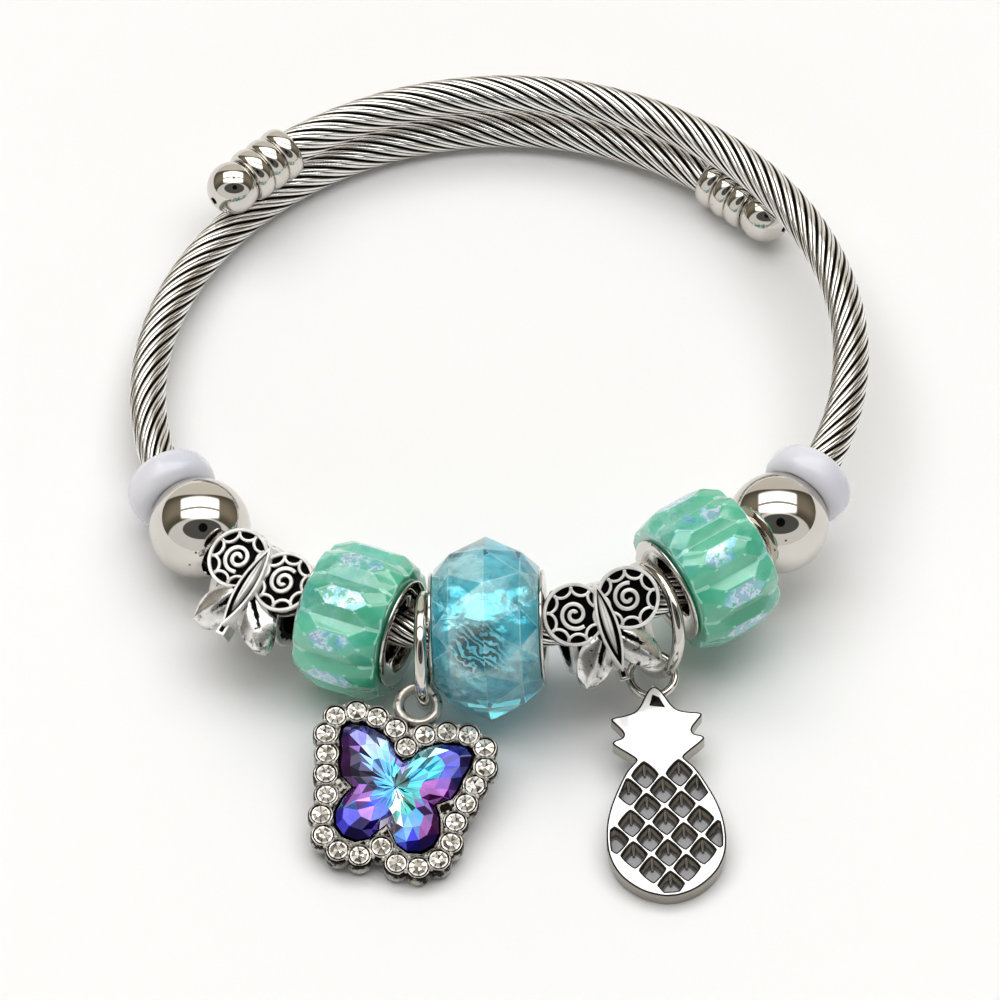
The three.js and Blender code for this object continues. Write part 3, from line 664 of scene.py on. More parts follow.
def antiqueSilverMaterial(name, bright, dark, lowMetallic, metallic):
    # black in the hollows, worn bright on what stands out
    silver = Recipe(name, bright, metallic, 0.3)
    cast = silver.shared(castGrain, Relief=silver.attribute("relief"), Scale=1500, Reach=0.16)
    mask = silver.spread(cast["Worn"], 0.42, 0.54)
    tone = silver.shared(clouding, Light=bright, Dark=darker(bright, 0.62), Scale=420)["Color"]
    silver.drive("Base Color", silver.mix(mask, dark, tone))
    worn = silver.spread(silver.attribute("relief"), 0.65, 0.85, lowMetallic, metallic)
    silver.drive("Metallic", silver.math("MAXIMUM", worn, silver.spread(mask, 0, 1, 1.0, 0)))
    silver.drive("Roughness", silver.spread(mask, 0, 1, 0.5, 0.17))
    silver.bump(cast["Grain"], 0.25, 0.00005)
    return silver.material


def whiteSilverMaterial():
    # from the pits' floors and walls, through a black outline, to the darker sides and the white face; the
    # white at the top, mostly non-metal, is a painted reflection of the softbox on the face and the bail
    silver = Recipe("whiteSilver", (0.93, 0.92, 0.90), 1.0, 0.1)
    height = silver.attribute("relief")
    cast = silver.shared(castGrain, Relief=height, Scale=1300, Reach=0.04)
    # the white at the top of the ramp stands for the softbox's painted reflection in the polished face
    silver.drive("Base Color", silver.ramp(
        cast["Worn"], (0.05, (0.24, 0.24, 0.25)), (0.10, (0.06, 0.055, 0.05)), (0.17, (0.36, 0.33, 0.28)),
        (0.24, (0.26, 0.24, 0.20)), (0.28, (0.010, 0.009, 0.008)), (0.40, (0.012, 0.011, 0.01)),
        (0.60, (0.34, 0.32, 0.28)), (0.80, (0.42, 0.40, 0.36)), (0.95, (0.96, 0.96, 0.96))))
    silver.drive("Metallic", silver.levels(height, (0.08, 0.2), (0.25, 1), (0.42, 1),
                                           (0.6, 0.85), (0.82, 0.85), (0.95, 0.2)))
    silver.set("Specular IOR Level", 0.2)
    silver.drive("Roughness", silver.spread(height, 0.5, 1, 0.32, 0.12))
    silver.bump(cast["Grain"], 0.08, 0.00003)
    return silver.material


def foilMaterial():
    # crinkled silver, with one place painted with a dark zigzag that stands in for a dark reflection in the
    # foil
    foil = Recipe("creasedFoil", (0.86, 0.97, 0.99), 0.7, 0.2)
    wave = foil.node("ShaderNodeTexWave", wave_type="BANDS", bands_direction="DIAGONAL")
    for socket, value in (("Scale", 640), ("Distortion", 11), ("Detail", 2), ("Detail Scale", 1.2)):
        wave.inputs[socket].default_value = value
    foil.link(foil.place(), wave.inputs["Vector"])
    darkReflection = foil.math("MULTIPLY", foil.spread(wave.outputs["Fac"], 0.38, 0.46), foil.attribute("reflectionPatch"))
    fleck = foil.spread(foil.noise(700, 5, 0.75), 0.36, 0.50)
    color = foil.mix(fleck, (0.45, 0.66, 0.72), (0.99, 0.99, 0.99))
    foil.drive("Base Color", foil.mix(darkReflection, color, (0.002, 0.006, 0.008)))
    foil.drive("Metallic", foil.spread(darkReflection, 0, 1, 0.55, 1))
    height = foil.math("ADD", foil.cells(620), foil.math("MULTIPLY", foil.noise(1500, 3, 0.7), 0.5))
    foil.bump(height, 0.6, 0.0003)
    return foil.material


def milkyRubberMaterial():
    rubber = Recipe("milkyRubber", (0.62, 0.62, 0.68), 0.0, 0.2)
    rubber.set("Subsurface Weight", 0.5)
    rubber.set("Subsurface Radius", (0.9, 0.95, 1.0))
    rubber.set("Subsurface Scale", 0.0016)
    rubber.set("Specular IOR Level", 0.6)
    cloud = rubber.spread(rubber.noise(170, 2), 0.3, 0.7)
    rubber.drive("Base Color", rubber.mix(cloud, (0.56, 0.57, 0.66), (0.75, 0.75, 0.79)))
    rubber.drive("Roughness", rubber.spread(cloud, 0, 1, 0.14, 0.26))
    return rubber.material


def mintResinMaterial():
    # the crest facets carry a broken film of pearl colours
    resin = Recipe("mintResin", (0.15, 0.57, 0.35), 0.0, 0.14)
    resin.set("Coat Weight", 1.0)
    resin.set("Coat Roughness", 0.04)
    resin.set("Subsurface Weight", 0.15)
    resin.set("Subsurface Radius", (0.4, 1.0, 0.7))
    resin.set("Subsurface Scale", 0.0008)
    crest = resin.attribute("crest")
    deep = resin.spread(resin.noise(150, 3), 0.35, 0.65)
    base = resin.mix(deep, (0.03, 0.35, 0.20), (0.14, 0.58, 0.39))
    # painted highlight: the thin bevelled outer edges are lightened
    base = resin.mix(resin.math("MULTIPLY", resin.attribute("edgeLight"), 0.55), base, (0.45, 0.86, 0.72))
    hue = resin.noise(330, 4, 0.7)
    shimmer = resin.ramp(hue, (0.36, (0.10, 0.34, 0.62)), (0.44, (0.18, 0.50, 0.74)),
                         (0.50, (0.40, 0.72, 0.84)), (0.545, (0.70, 0.80, 0.90)),
                         (0.565, (0.36, 0.42, 0.70)), (0.62, (0.20, 0.60, 0.60)))
    fine = resin.noise(1500, 5, 0.7)
    patches = resin.math("MULTIPLY", resin.noise(330, 3, 0.6), 0.4)
    broken = resin.spread(resin.math("ADD", resin.math("MULTIPLY", fine, 0.6), patches), 0.46, 0.485)
    film = resin.math("MULTIPLY", broken, resin.spread(crest, 0.2, 0.8, 0.0, 0.9))
    veil = resin.math("MULTIPLY", resin.spread(resin.noise(120, 4, 0.6), 0.52, 0.62), 0.2)
    film = resin.math("MAXIMUM", film, veil)
    resin.drive("Base Color", resin.mix(film, base, shimmer))
    resin.drive("Metallic", resin.spread(film, 0, 1, 0.0, 0.4))
    resin.bump(fine, 0.35, 0.00005)
    return resin.material


def blueResinMaterial():
    # clear resin, deeper where it is thicker; each facet is painted a little lighter or deeper, standing in
    # for the light that each facet catches, and the thin bevelled edges are painted light
    resin = Recipe("blueResin", (0.7, 0.95, 1.0), 0.0, 0.012)
    resin.set("IOR", 1.42)
    resin.set("Coat Weight", 0.5)
    resin.set("Coat Roughness", 0.01)
    unevenness = resin.spread(resin.noise(260, 3, 0.6), 0.3, 0.7, -0.15, 0.15)
    facet = resin.math("ADD", resin.attribute("paintedFacetLight"), unevenness)
    resin.drive("Base Color", resin.ramp(facet, (0.0, (0.02, 0.46, 0.66)), (0.5, (0.36, 0.90, 0.97)),
                                         (0.9, (0.80, 0.97, 1.0))))
    resin.set("Transmission Weight", 0.87)
    depth = resin.node("ShaderNodeVolumeAbsorption")
    depth.inputs["Color"].default_value = (0.05, 0.90, 0.95, 1)
    depth.inputs["Density"].default_value = 65
    resin.link(depth.outputs["Volume"], resin.tree.nodes["Material Output"].inputs["Volume"])
    return resin.material


def crystalMaterial():
    # a foiled stone: every facet keeps its own colour, which holds painted light: brighter and darker facets,
    # bright glints on the thin edge faces and dark sides
    glass = Recipe("violetCrystal", (0.1, 0.1, 0.6), 0.8, 0.05)
    glass.set("Coat Weight", 1.0)
    glass.set("Coat Roughness", 0.01)
    tint = glass.node("ShaderNodeAttribute", attribute_name="facetTintAndPaintedLight")
    streak = glass.spread(glass.noise(520, 2, 0.5), 0.35, 0.65, 0.62, 1.12)
    shade = glass.node("ShaderNodeHueSaturation")
    glass.link(streak, shade.inputs["Value"])
    glass.link(tint.outputs["Color"], shade.inputs["Color"])
    glass.drive("Base Color", shade.outputs["Color"])
    glass.drive("Roughness", glass.shared(haze, Scale=800, Low=0.03, High=0.1)["Roughness"])
    return glass.material


def clearStoneMaterial():
    # silver-backed glass; its facets are painted light or dark, standing in for the sparkle of their
    # reflections
    glass = Recipe("clearCrystal", (0.90, 0.90, 0.90), 0.4, 0.06)
    glass.set("Coat Weight", 0.5)
    unevenness = glass.spread(glass.noise(1400, 2), 0.3, 0.7, 0.75, 1.2)
    facet = glass.math("MULTIPLY", glass.attribute("paintedFacetLight"), unevenness)
    color = glass.ramp(facet, (0.0, (0.008, 0.007, 0.006)), (0.35, (0.16, 0.13, 0.10)),
                       (0.7, (0.60, 0.56, 0.48)), (1.0, (0.96, 0.94, 0.90)))
    glass.drive("Base Color", color)
    return glass.material


polishedSteel = polishedSteelMaterial()
whiteSilver = whiteSilverMaterial()
twistedSteel = twistedSteelMaterial()
antiqueSilver = antiqueSilverMaterial("antiqueSilver", (0.99, 0.98, 0.95), (0.004, 0.004, 0.004), 0.9, 0.18)
charmSilver = antiqueSilverMaterial("charmSilver", (0.64, 0.61, 0.55), (0.006, 0.005, 0.004), 0.6, 0.6)
creasedFoil = foilMaterial()
milkyRubber = milkyRubberMaterial()
mintResin = mintResinMaterial()
blueResin = blueResinMaterial()
violetCrystal = crystalMaterial()
clearCrystal = clearStoneMaterial()
print("materials")


# The coil's centre line and the frames on it

coil = {
    "radius": 29.9, "narrowing": 0.78, "oval": -0.39, "skew": 0.27, "trefoil": 0.125,
    "height": 7.46, "frontLift": 1.79, "rightLift": 1.18, "pitch": 4.0,
    "startAngle": -0.775, "endAngle": 7.08, "springOut": 0.35, "springFrom": 6.3, "springOver": 0.87,
}


def coilPoint(angle):
    spring = max((angle - coil["springFrom"]) / coil["springOver"], 0) ** 2
    radius = (coil["radius"] - coil["narrowing"] * (angle - math.pi) / (2 * math.pi)
              + coil["oval"] * math.cos(2 * angle) + coil["skew"] * math.sin(2 * angle)
              + coil["trefoil"] * math.cos(3 * angle) + coil["springOut"] * spring)
    height = (coil["height"] - coil["frontLift"] * math.cos(angle) + coil["rightLift"] * math.sin(angle)
              - coil["pitch"] * angle / (2 * math.pi))
    return Vector((radius * math.sin(angle), radius * math.cos(angle), height)) + originShift


def basis(x, y, z, at):
    place = Matrix((x, y, z)).transposed().to_4x4()
    place.translation = at
    return place


def station(degreesLeft, yaw=0, roll=0, sag=0, out=0):
    # X along the cable, to the right at the front, Y to the wrist, Z up
    angle = math.pi + math.radians(degreesLeft)
    axis = (coilPoint(angle - 0.002) - coilPoint(angle + 0.002)).normalized()
    up = (Vector((0, 0, 1)) - axis * axis.z).normalized()
    inward = up.cross(axis)
    middle = coilPoint(angle) - inward * out - Vector((0, 0, sag))
    turn = Matrix.Rotation(math.radians(yaw), 4, "Z") @ Matrix.Rotation(math.radians(roll), 4, "X")
    return basis(axis, inward, up, middle) @ turn


def frameOf(origin, xAxis):
    # X along the axis, Y level
    x = Vector(xAxis).normalized()
    y = Vector((0, 0, 1)).cross(x).normalized()
    return basis(x, y, x.cross(y), origin)


# Twisted cable: the skin of a ring of round wires, screwed to its length and bent along the coil

cable = {"radius": 1.6, "wires": 20, "wireRadius": 0.215, "pointsOnWire": 9,
         "layLength": 20.0, "layAngle": 26.0, "pairShift": 2.2, "gapSwing": 94, "pairSwing": 43,
         "steps": 420, "pathSteps": 500}


def cableSection():
    # the wires lie in pairs, with a deep gap between pairs
    deselectAll()
    bpy.ops.mesh.primitive_circle_add(vertices=cable["wires"] * cable["pointsOnWire"], radius=cable["radius"],
                                      rotation=(0, math.pi / 2, 0))
    bpy.ops.object.transform_apply(location=True, rotation=True, scale=True)
    section = named("twistedCable")
    middle = cable["radius"] - cable["wireRadius"]
    wide = cable["wireRadius"] / math.cos(math.radians(cable["layAngle"]))
    heights = []
    for index, vertex in enumerate(section.data.vertices):
        wire, onWire = divmod(index, cable["pointsOnWire"])
        lean = 1 if wire % 2 else -1
        angle = 2 * math.pi * wire / cable["wires"] - lean * math.radians(cable["pairShift"])
        low, high = -cable["gapSwing"], cable["pairSwing"]
        if lean > 0:
            low, high = -high, -low
        swing = math.radians(low + (high - low) * onWire / (cable["pointsOnWire"] - 1))
        outwards = Vector((0, math.cos(angle), math.sin(angle)))
        sideways = Vector((0, -math.sin(angle), math.cos(angle)))
        outwards *= middle + cable["wireRadius"] * math.cos(swing)
        vertex.co = outwards + sideways * wide * math.sin(swing)
        heights.append(math.cos(swing))
    setValues(section, "relief", heights)
    return section


def addCable():
    piece = cableSection()
    points = [coilPoint(angle) for angle in sweep(coil["startAngle"], coil["endAngle"], cable["pathSteps"])]
    length = sum((after - before).length for before, after in zip(points, points[1:]))
    path = polyLine("cablePath", points)
    path.data.twist_mode = "Z_UP"

    pick(piece)
    twist = piece.modifiers.new("lay", "SCREW")
    twist.axis = "X"
    twist.angle = 2 * math.pi * length / cable["layLength"]
    twist.screw_offset = length
    twist.steps = cable["steps"]
    twist.render_steps = cable["steps"]
    bpy.ops.object.modifier_apply(modifier=twist.name)
    bend = piece.modifiers.new("bend", "CURVE")
    bend.object = path
    bend.deform_axis = "POS_X"
    bpy.ops.object.modifier_apply(modifier=bend.name)
    bpy.data.objects.remove(path)

    editAll(piece)  # both ends are closed to a point, inside the caps
    bpy.ops.mesh.select_all(action="DESELECT")
    bpy.ops.mesh.select_mode(type="VERT")
    bpy.ops.mesh.select_non_manifold(extend=False)
    extrudeUp(0)
    bpy.ops.mesh.merge(type="COLLAPSE")
    closeShell()
    smoothBy(piece, 70)
    finishPiece(piece, Matrix.Identity(4), twistedSteel, "cable")


addCable()
print("cable")


# End caps: a ball with a vent and three ribs, straight on the chord

cap = {"ballRadius": 2.28, "ribRadius": 2.34, "ribPitch": 1.65, "ribs": 3, "bore": 1.86, "ribsFrom": 1.42,
       "ballAngle": {"Left": -0.858, "Right": 7.163}, "ventRadius": 0.32, "ventDepth": 1.0, "sunk": 0.02}


def endBallProfile():
    radius, vent = cap["ballRadius"], cap["ventRadius"]
    floorAt = cap["ventDepth"] - radius
    mouth = math.asin(vent / radius) + 0.03
    return [(floorAt, 0), (floorAt, vent), (-radius * 0.995 + 0.07, vent)] + [
        (-radius * math.cos(angle), radius * math.sin(angle)) for angle in sweep(mouth, math.pi, 26)]


def endRingsProfile():
    half, low = cap["ribPitch"] / 2, cap["bore"] - cap["sunk"]
    rise = cap["ribRadius"] - low
    profile = [(cap["ribsFrom"] + 0.04, cap["bore"])]
    for rib in range(cap["ribs"]):
        middle = cap["ribsFrom"] + half + rib * cap["ribPitch"]
        profile += [(middle - half * 0.985 * math.cos(angle), low + rise * math.sin(angle) ** 0.75)
                    for angle in sweep(0, math.pi, 20)]
    return profile + [(profile[-1][0], cap["bore"]), profile[0]]


def addEndCaps():
    reach = (cap["ribsFrom"] + cap["ribs"] * cap["ribPitch"]) / coil["radius"]
    for side, towards in zip(bothSides, (1, -1)):
        angle = cap["ballAngle"][side]
        ballAt = coilPoint(angle)
        place = frameOf(ballAt, coilPoint(angle + towards * reach) - ballAt)
        ball = turnedPiece("endBall" + side, endBallProfile(), 56)
        finishPiece(ball, place, polishedSteel, "end_ball_" + side.lower())
        rings = turnedPiece("endRings" + side, endRingsProfile(), 64, 50)
        finishPiece(rings, place, polishedSteel, "end_rings_" + side.lower())


addEndCaps()
print("end caps")


# Milky stoppers and drilled steel balls

stopper = {"outer": 3.85, "bore": 1.86, "width": 3.4, "lip": 0.35,
           "Left": {"degreesLeft": 67.6}, "Right": {"degreesLeft": -62.6}}
steelBall = {"radius": 4.4, "bore": 2.15, "lip": 0.12, "clear": 0.02,
             "Left": {"degreesLeft": 57.7}, "Right": {"degreesLeft": -53.45, "sag": 0.25, "out": 0.1}}


def stopperProfile():
    half, lip = stopper["width"] / 2, stopper["lip"]
    middle = stopper["bore"] + lip
    profile = [(lip - half, stopper["bore"]), (half - lip, stopper["bore"])]
    for angle in sweep(0, math.pi, 24):
        along = half * math.copysign(abs(math.cos(angle)) ** 0.75, math.cos(angle))
        profile.append((along, middle + (stopper["outer"] - middle) * math.sin(angle) ** 0.8))
    return profile + [profile[0]]


def addStoppers():
    pressed = steelBall["radius"] + steelBall["clear"]
    for side in bothSides:
        ring = turnedPiece("stopper" + side, stopperProfile(), 72)
        place = station(**stopper[side])
        ball = place.inverted() @ station(**steelBall[side]).translation
        for vertex in ring.data.vertices:  # its face is pressed hollow by the ball
            away = vertex.co - ball
            if away.length < pressed:
                reach = math.sqrt(pressed ** 2 - away.y ** 2 - away.z ** 2)
                vertex.co.x = ball.x - math.copysign(reach, ball.x)
        finishPiece(ring, place, milkyRubber, "stopper_" + side.lower())


def steelBallProfile():
    radius, bore, lip = steelBall["radius"], steelBall["bore"], steelBall["lip"]
    first = math.asin((bore + lip) / radius)
    edge = radius * math.cos(first) - lip
    profile = [(-edge, bore), (edge, bore)]
    profile += [(radius * math.cos(angle), radius * math.sin(angle))
                for angle in sweep(first, math.pi - first, 40)]
    return profile + [profile[0]]


def addSteelBalls():
    for side in bothSides:
        ball = turnedPiece("steelBall" + side, steelBallProfile(), 96)
        place = station(**steelBall[side])
        finishPiece(ball, place, polishedSteel, "steel_ball_" + side.lower())


addStoppers()
addSteelBalls()
print("stoppers and steel balls")


# Eyelets, green beads, blue bead and its foil

greenBead = {"edge": 0.16, "crestFrom": 6.1,
             "Left": {"degreesLeft": 23.35, "yaw": -3, "roll": 4, "sag": -0.22, "out": 0.25},
             "Right": {"degreesLeft": -38.0, "yaw": -2, "roll": 10, "sag": -0.15, "out": -0.35}}
blueBead = {"edge": 0.07, "at": {"degreesLeft": 1.5, "roll": 7, "sag": -0.67}}
greenCore = {"tube": 3.15, "bore": 2.65, "flange": 4.75, "width": 8.5, "lip": 0.33}
blueCore = {"tube": 3.1, "bore": 2.6, "flange": 4.98, "width": 9.92, "lip": 0.3}
eyelet = {"edge": 0.2, "dish": 0.05, "throat": 0.95}
foil = {"outer": 4.7, "inner": 4.2, "width": 8.9, "deepest": 0.3, "reflectionPatchAt": (-0.6, -3.6, 3.0)}


def eyeletPiece(name, core):
    # a tube between two flanges with rounded edges and a rounded throat
    half, lip = core["width"] / 2, core["lip"]
    rim = core["flange"] - eyelet["edge"]
    side = [(half - lip, core["tube"]), (half - lip, rim)]
    side += [(half - lip / 2 * (1 + math.cos(angle)), rim + eyelet["edge"] * math.sin(angle))
             for angle in sweep(0, math.pi, 8)]
    for share in sweep(0, 1, 6)[1:]:
        turn = share * math.pi / 2
        side.append((half - eyelet["dish"] * share - eyelet["throat"] * (1 - math.cos(turn)),
                     rim - (rim - core["bore"]) * math.sin(turn)))
    mirrored = [(-x, radius) for x, radius in reversed(side)]
    return turnedPiece(name, side + mirrored + [side[0]], 72)


def beadCopy(name, node, place, edge):
    # the CAD bead, merged to whole facets, with softened edges, in its own frame
    piece = copyOf(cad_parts[node], name)
    piece.parent = None
    piece.matrix_world = Matrix.Identity(4)
    piece.data.transform(place.inverted() @ Matrix.Scale(1 / mm, 4))
    editAll(piece)
    bpy.ops.mesh.remove_doubles(threshold=0.002)
    bpy.ops.mesh.dissolve_limited(angle_limit=math.radians(0.6))
    leaveEdit()
    bevelled(piece, edge, 2, 8)
    smoothBy(piece, 12)
    return piece


def isCrest(face, radius, facing):
    return radius > greenBead["crestFrom"] and facing > 0.97 and face.area > 0.6


def isOuterEdge(face, radius, facing):
    return face.area < 0.12 and radius > 5


def addGreenBeads():
    for side in bothSides:
        place = station(**greenBead[side])
        bead = beadCopy("greenBead" + side, "green_bead_" + side.lower(), place, greenBead["edge"])
        markFaces(bead, "crest", isCrest)
        markFaces(bead, "edgeLight", isOuterEdge)
        finishPiece(bead, place, mintResin, "green_bead_" + side.lower())
        core = eyeletPiece("greenCore" + side, greenCore)
        finishPiece(core, place, polishedSteel, "green_core_" + side.lower())


def foilPiece():
    half = foil["width"] / 2
    profile = [(x, foil["outer"]) for x in sweep(-half, half, 40)]
    profile += [(half, foil["inner"]), (-half, foil["inner"]), profile[0]]
    sleeve = turnedPiece("blueFoil", profile, 120)
    for vertex in sleeve.data.vertices:
        x, y, z = vertex.co
        radius = math.hypot(y, z)
        if radius > foil["outer"] - 0.01:
            crease = noise.noise(Vector((x * 0.9, y * 1.3, z * 1.3))) * 0.5
            crease += noise.noise(Vector((x * 2.2 + 7, y * 2.4, z * 2.4))) * 0.4
            drop = min(max(0.1 + crease * 0.2, 0), foil["deepest"])
            vertex.co.y *= (radius - drop) / radius
            vertex.co.z *= (radius - drop) / radius
    smoothBy(sleeve, 25)
    # the patch where the dark zigzag of painted reflection is drawn, strongest at its middle
    patchCentre = Vector(foil["reflectionPatchAt"])
    setValues(sleeve, "reflectionPatch", [2.7 - 1.15 * (vertex.co - patchCentre).length for vertex in sleeve.data.vertices])
    return sleeve


def addBlueBead():
    place = station(**blueBead["at"])
    bead = beadCopy("blueBead", "blue_bead", place, blueBead["edge"])
    draw = random.Random(11)

    # painted light: a random lighter or deeper shade for each large facet, a light one for the thin bevel
    # faces
    def paintedFacetLight(face, radius, facing):
        return draw.uniform(0.0, 0.95) if face.area > 0.5 else 0.8

    markFaces(bead, "paintedFacetLight", paintedFacetLight)
    finishPiece(bead, place, blueResin, "blue_bead")
    finishPiece(eyeletPiece("blueCore", blueCore), place, polishedSteel, "blue_core")
    finishPiece(foilPiece(), place, creasedFoil, "blue_foil")


addGreenBeads()
addBlueBead()
print("beads and eyelets")


# Butterfly beads: a short tube with a cast butterfly standing on it

butterflyBead = {
    "tube": 3.75, "bore": 2.55, "width": 7.4, "rim": 0.25, "collar": 0.7, "bevel": 0.12,
    "wing": 2.76, "wingApart": 4.9, "wingUp": 1.2, "wingTop": 4.75, "wingThick": 1.5, "recess": 0.5,
    "rimLine": 0.29, "petals": 9, "petalReach": 2.65, "petalRadius": 0.95, "petalSweep": 2.3,
    "petalLine": 0.24, "spiralTurns": 1.75, "spiralLine": 0.32, "spiralStart": 0.2, "spiralRadius": 1.3,
    "bodyLong": 8.0, "bodyWide": 1.75, "bodyLine": 0.2, "bodyTop": 5.35, "grooveDeep": 0.42,
    "tailTop": 4.85, "leafLong": 4.9, "leafWide": 3.1, "leafTop": 4.9, "leafThick": 0.9,
    "leaves": ((-0.5, -125), (0.5, -50)), "leafRoot": -1.2, "saddle": (2.9, 2.4),
    "Left": {"degreesLeft": 40.85, "roll": 22, "sag": 0.8},
    "Right": {"degreesLeft": -17.87, "roll": 34, "sag": 0.75},
    "shift": {"Left": (0.7, -0.9, 0), "Right": (-0.3, 0, 0)}, "turn": {"Left": 2, "Right": 2.5},
}


def wingParts(x, y, hand):
    # a blackened dish with a rim, nine petals and a spiral standing in it
    w = butterflyBead
    top, floorAt = w["wingTop"], w["wingTop"] - w["recess"]
    dish = plateFrom("wingFloor", discOutline(x, y, w["wing"] - 0.04, 56), top - w["wingThick"], floorAt)
    markRelief(dish, lambda point: 0.0 if point.z > floorAt - 0.01 else 0.75)
    rim = flatRing("wingRim", x, y, w["wing"], w["wing"] - w["rimLine"], floorAt - 0.2, top)
    lines = []
    for petal in range(w["petals"]):
        centre = (petal + 0.5) * 2 * math.pi / w["petals"]
        petalX = x + w["petalReach"] * math.cos(centre)
        petalY = y + w["petalReach"] * math.sin(centre)
        half = w["petalSweep"] / 2
        arc = [(petalX + w["petalRadius"] * math.cos(angle), petalY + w["petalRadius"] * math.sin(angle))
               for angle in sweep(centre + math.pi - half, centre + math.pi + half, 12)]
        lines.append(bandPlate("petal", arc, w["petalLine"], floorAt - 0.1, top - 0.03))
    spiral = []
    for share in sweep(0, 1, 56):
        angle = hand * (share * w["spiralTurns"] * 2 * math.pi + 0.4)
        radius = w["spiralStart"] + (w["spiralRadius"] - w["spiralStart"]) * share
        spiral.append((x + radius * math.cos(angle), y + radius * math.sin(angle)))
    lines.append(bandPlate("spiral", spiral, w["spiralLine"], floorAt - 0.1, top - 0.01))
    for line in lines:
        bevelled(line, 0.05, 2, 50)
    low, high = floorAt - 0.15, top - 0.12
    for line in [rim] + lines:
        smoothBy(line, 40)
        markRelief(line, lambda point: (point.z - low) / (high - low))
    return [dish, rim] + lines


def leafPart(rootX, rootY, turn):
    # a lower wing: a leaf with a midrib beside a groove
    w = butterflyBead
    deselectAll()
    bpy.ops.mesh.primitive_grid_add(x_subdivisions=24, y_subdivisions=22, size=2)
    leaf = bpy.context.object
    heights = []
    for vertex in leaf.data.vertices:
        u, v = (vertex.co.x + 1) / 2, vertex.co.y  # along the leaf, and from -1 to 1 across it
        wide = w["leafWide"] / 2 * max(math.sin(math.pi * u ** 0.85), 0) ** 0.5
        crease = math.exp(-((v - 0.12 - 0.2 * u) / 0.12) ** 2) * max(1 - u * 1.5, 0)
        z = w["leafTop"] - 0.55 * abs(v + 0.2) ** 1.8 - 0.9 * u * u - 0.3 * crease
        along, across = u * w["leafLong"], v * wide
        vertex.co = (rootX + along * math.cos(turn) - across * math.sin(turn),
                     rootY + along * math.sin(turn) + across * math.cos(turn), z)
        heights.append(0.57 - 0.8 * crease - 0.5 * max(0.14 - u, 0) / 0.14)
    setValues(leaf, "relief", heights)
    editAll(leaf)
    extrudeUp(-w["leafThick"])
    closeShell(0.002)
    smoothBy(leaf, 40)
    return leaf


def bodyParts():
    # the long body: a lens with a rim, a black groove and a short ridge in it, and its tail
    w = butterflyBead
    top, groove = w["bodyTop"], w["grooveDeep"]
    shell = plateFrom("body", lensOutline(-0.75, w["bodyLong"], w["bodyWide"]), 3.0, top)
    topFaces(shell, top)
    bpy.ops.mesh.inset(thickness=w["bodyLine"])
    extrudeUp(-groove)
    leaveEdit()
    bevelled(shell, 0.035, 2, 50)
    smoothBy(shell, 40)
    markRelief(shell, lambda point: 0.0 if abs(point.z - top + groove) < 0.06 else 0.9)

    ridgeOutline = lensOutline(-0.35, w["bodyLong"] * 0.72, w["bodyWide"] * 0.4)
    ridge = plateFrom("bodyRidge", ridgeOutline, top - 0.45, top - 0.2)
    topFaces(ridge, top - 0.2)
    bpy.ops.mesh.inset(thickness=0.1)
    bpy.ops.transform.translate(value=(0, 0, 0.28))
    leaveEdit()
    smoothBy(ridge, 30)
    markRelief(ridge, lambda point: 1.0)

    tail = plateFrom("tail", [(-0.45, -5.5), (0.45, -5.5), (0.42, -4.4), (-0.42, -4.4)], 3.2, w["tailTop"])
    topFaces(tail, w["tailTop"])
    bpy.ops.mesh.inset(thickness=0.26)
    extrudeUp(-0.15)
    leaveEdit()
    bevelled(tail, 0.05)
    markRelief(tail, lambda point: 0.0 if 4.6 < point.z < 4.75 and abs(point.x) < 0.25 else 0.66)
    return [shell, ridge, tail]


def butterflyTube():
    # a sunk band between two collars
    w = butterflyBead
    half, outer, bevel, band = w["width"] / 2, w["tube"], w["bevel"], w["tube"] - w["rim"]
    left = [(-half, w["bore"]), (-half, outer - bevel), (-half + bevel, outer), (-half + w["collar"], outer),
            (-half + w["collar"] + bevel, band)]
    tube = turnedPiece("tube", left + [(-x, radius) for x, radius in reversed(left)] + left[:1], 72)
    markRelief(tube, lambda point: 0.1 if math.hypot(point.y, point.z) < w["bore"] + 0.05
               else 0.58 if abs(point.x) < half - 0.75 else 0.85)
    return tube


def butterflyPart():
    w = butterflyBead
    wide, long = w["saddle"]
    outline = rectangle((-wide, -long), (wide, long))
    saddle = plateFrom("saddle", outline, w["bore"] + 0.25, w["wingTop"] - 0.9)
    markRelief(saddle, lambda point: 0.3)
    apart = w["wingApart"] / 2
    wings = wingParts(-apart, w["wingUp"], 1) + wingParts(apart, w["wingUp"], -1)
    leaves = [leafPart(rootX, w["leafRoot"], math.radians(turn)) for rootX, turn in w["leaves"]]
    return joinedPiece("butterfly", [saddle] + wings + leaves + bodyParts())


def addButterflyBeads():
    model = butterflyPart()
    for side in bothSides:
        butterfly = copyOf(model, "butterfly")
        turn = Matrix.Rotation(math.radians(butterflyBead["turn"][side]), 4, "Z")
        butterfly.data.transform(Matrix.Translation(butterflyBead["shift"][side]) @ turn)
        bead = joinedPiece("butterflyBead" + side, [butterflyTube(), butterfly])
        finishPiece(bead, station(**butterflyBead[side]), antiqueSilver,
                    "butterfly_bead_" + side.lower())
    bpy.data.objects.remove(model)


addButterflyBeads()
print("butterfly beads")


# Hanger rings

hanger = {
    "radius": 4.62, "wire": 0.56,
    "Butterfly": {"at": (-6.36, -31.1, 6.97), "axis": (1, -0.026, 0.059)},
    "Pineapple": {"at": (13.24, -26.85, 5.79), "axis": (0.854, 0.44, -0.277)},
}


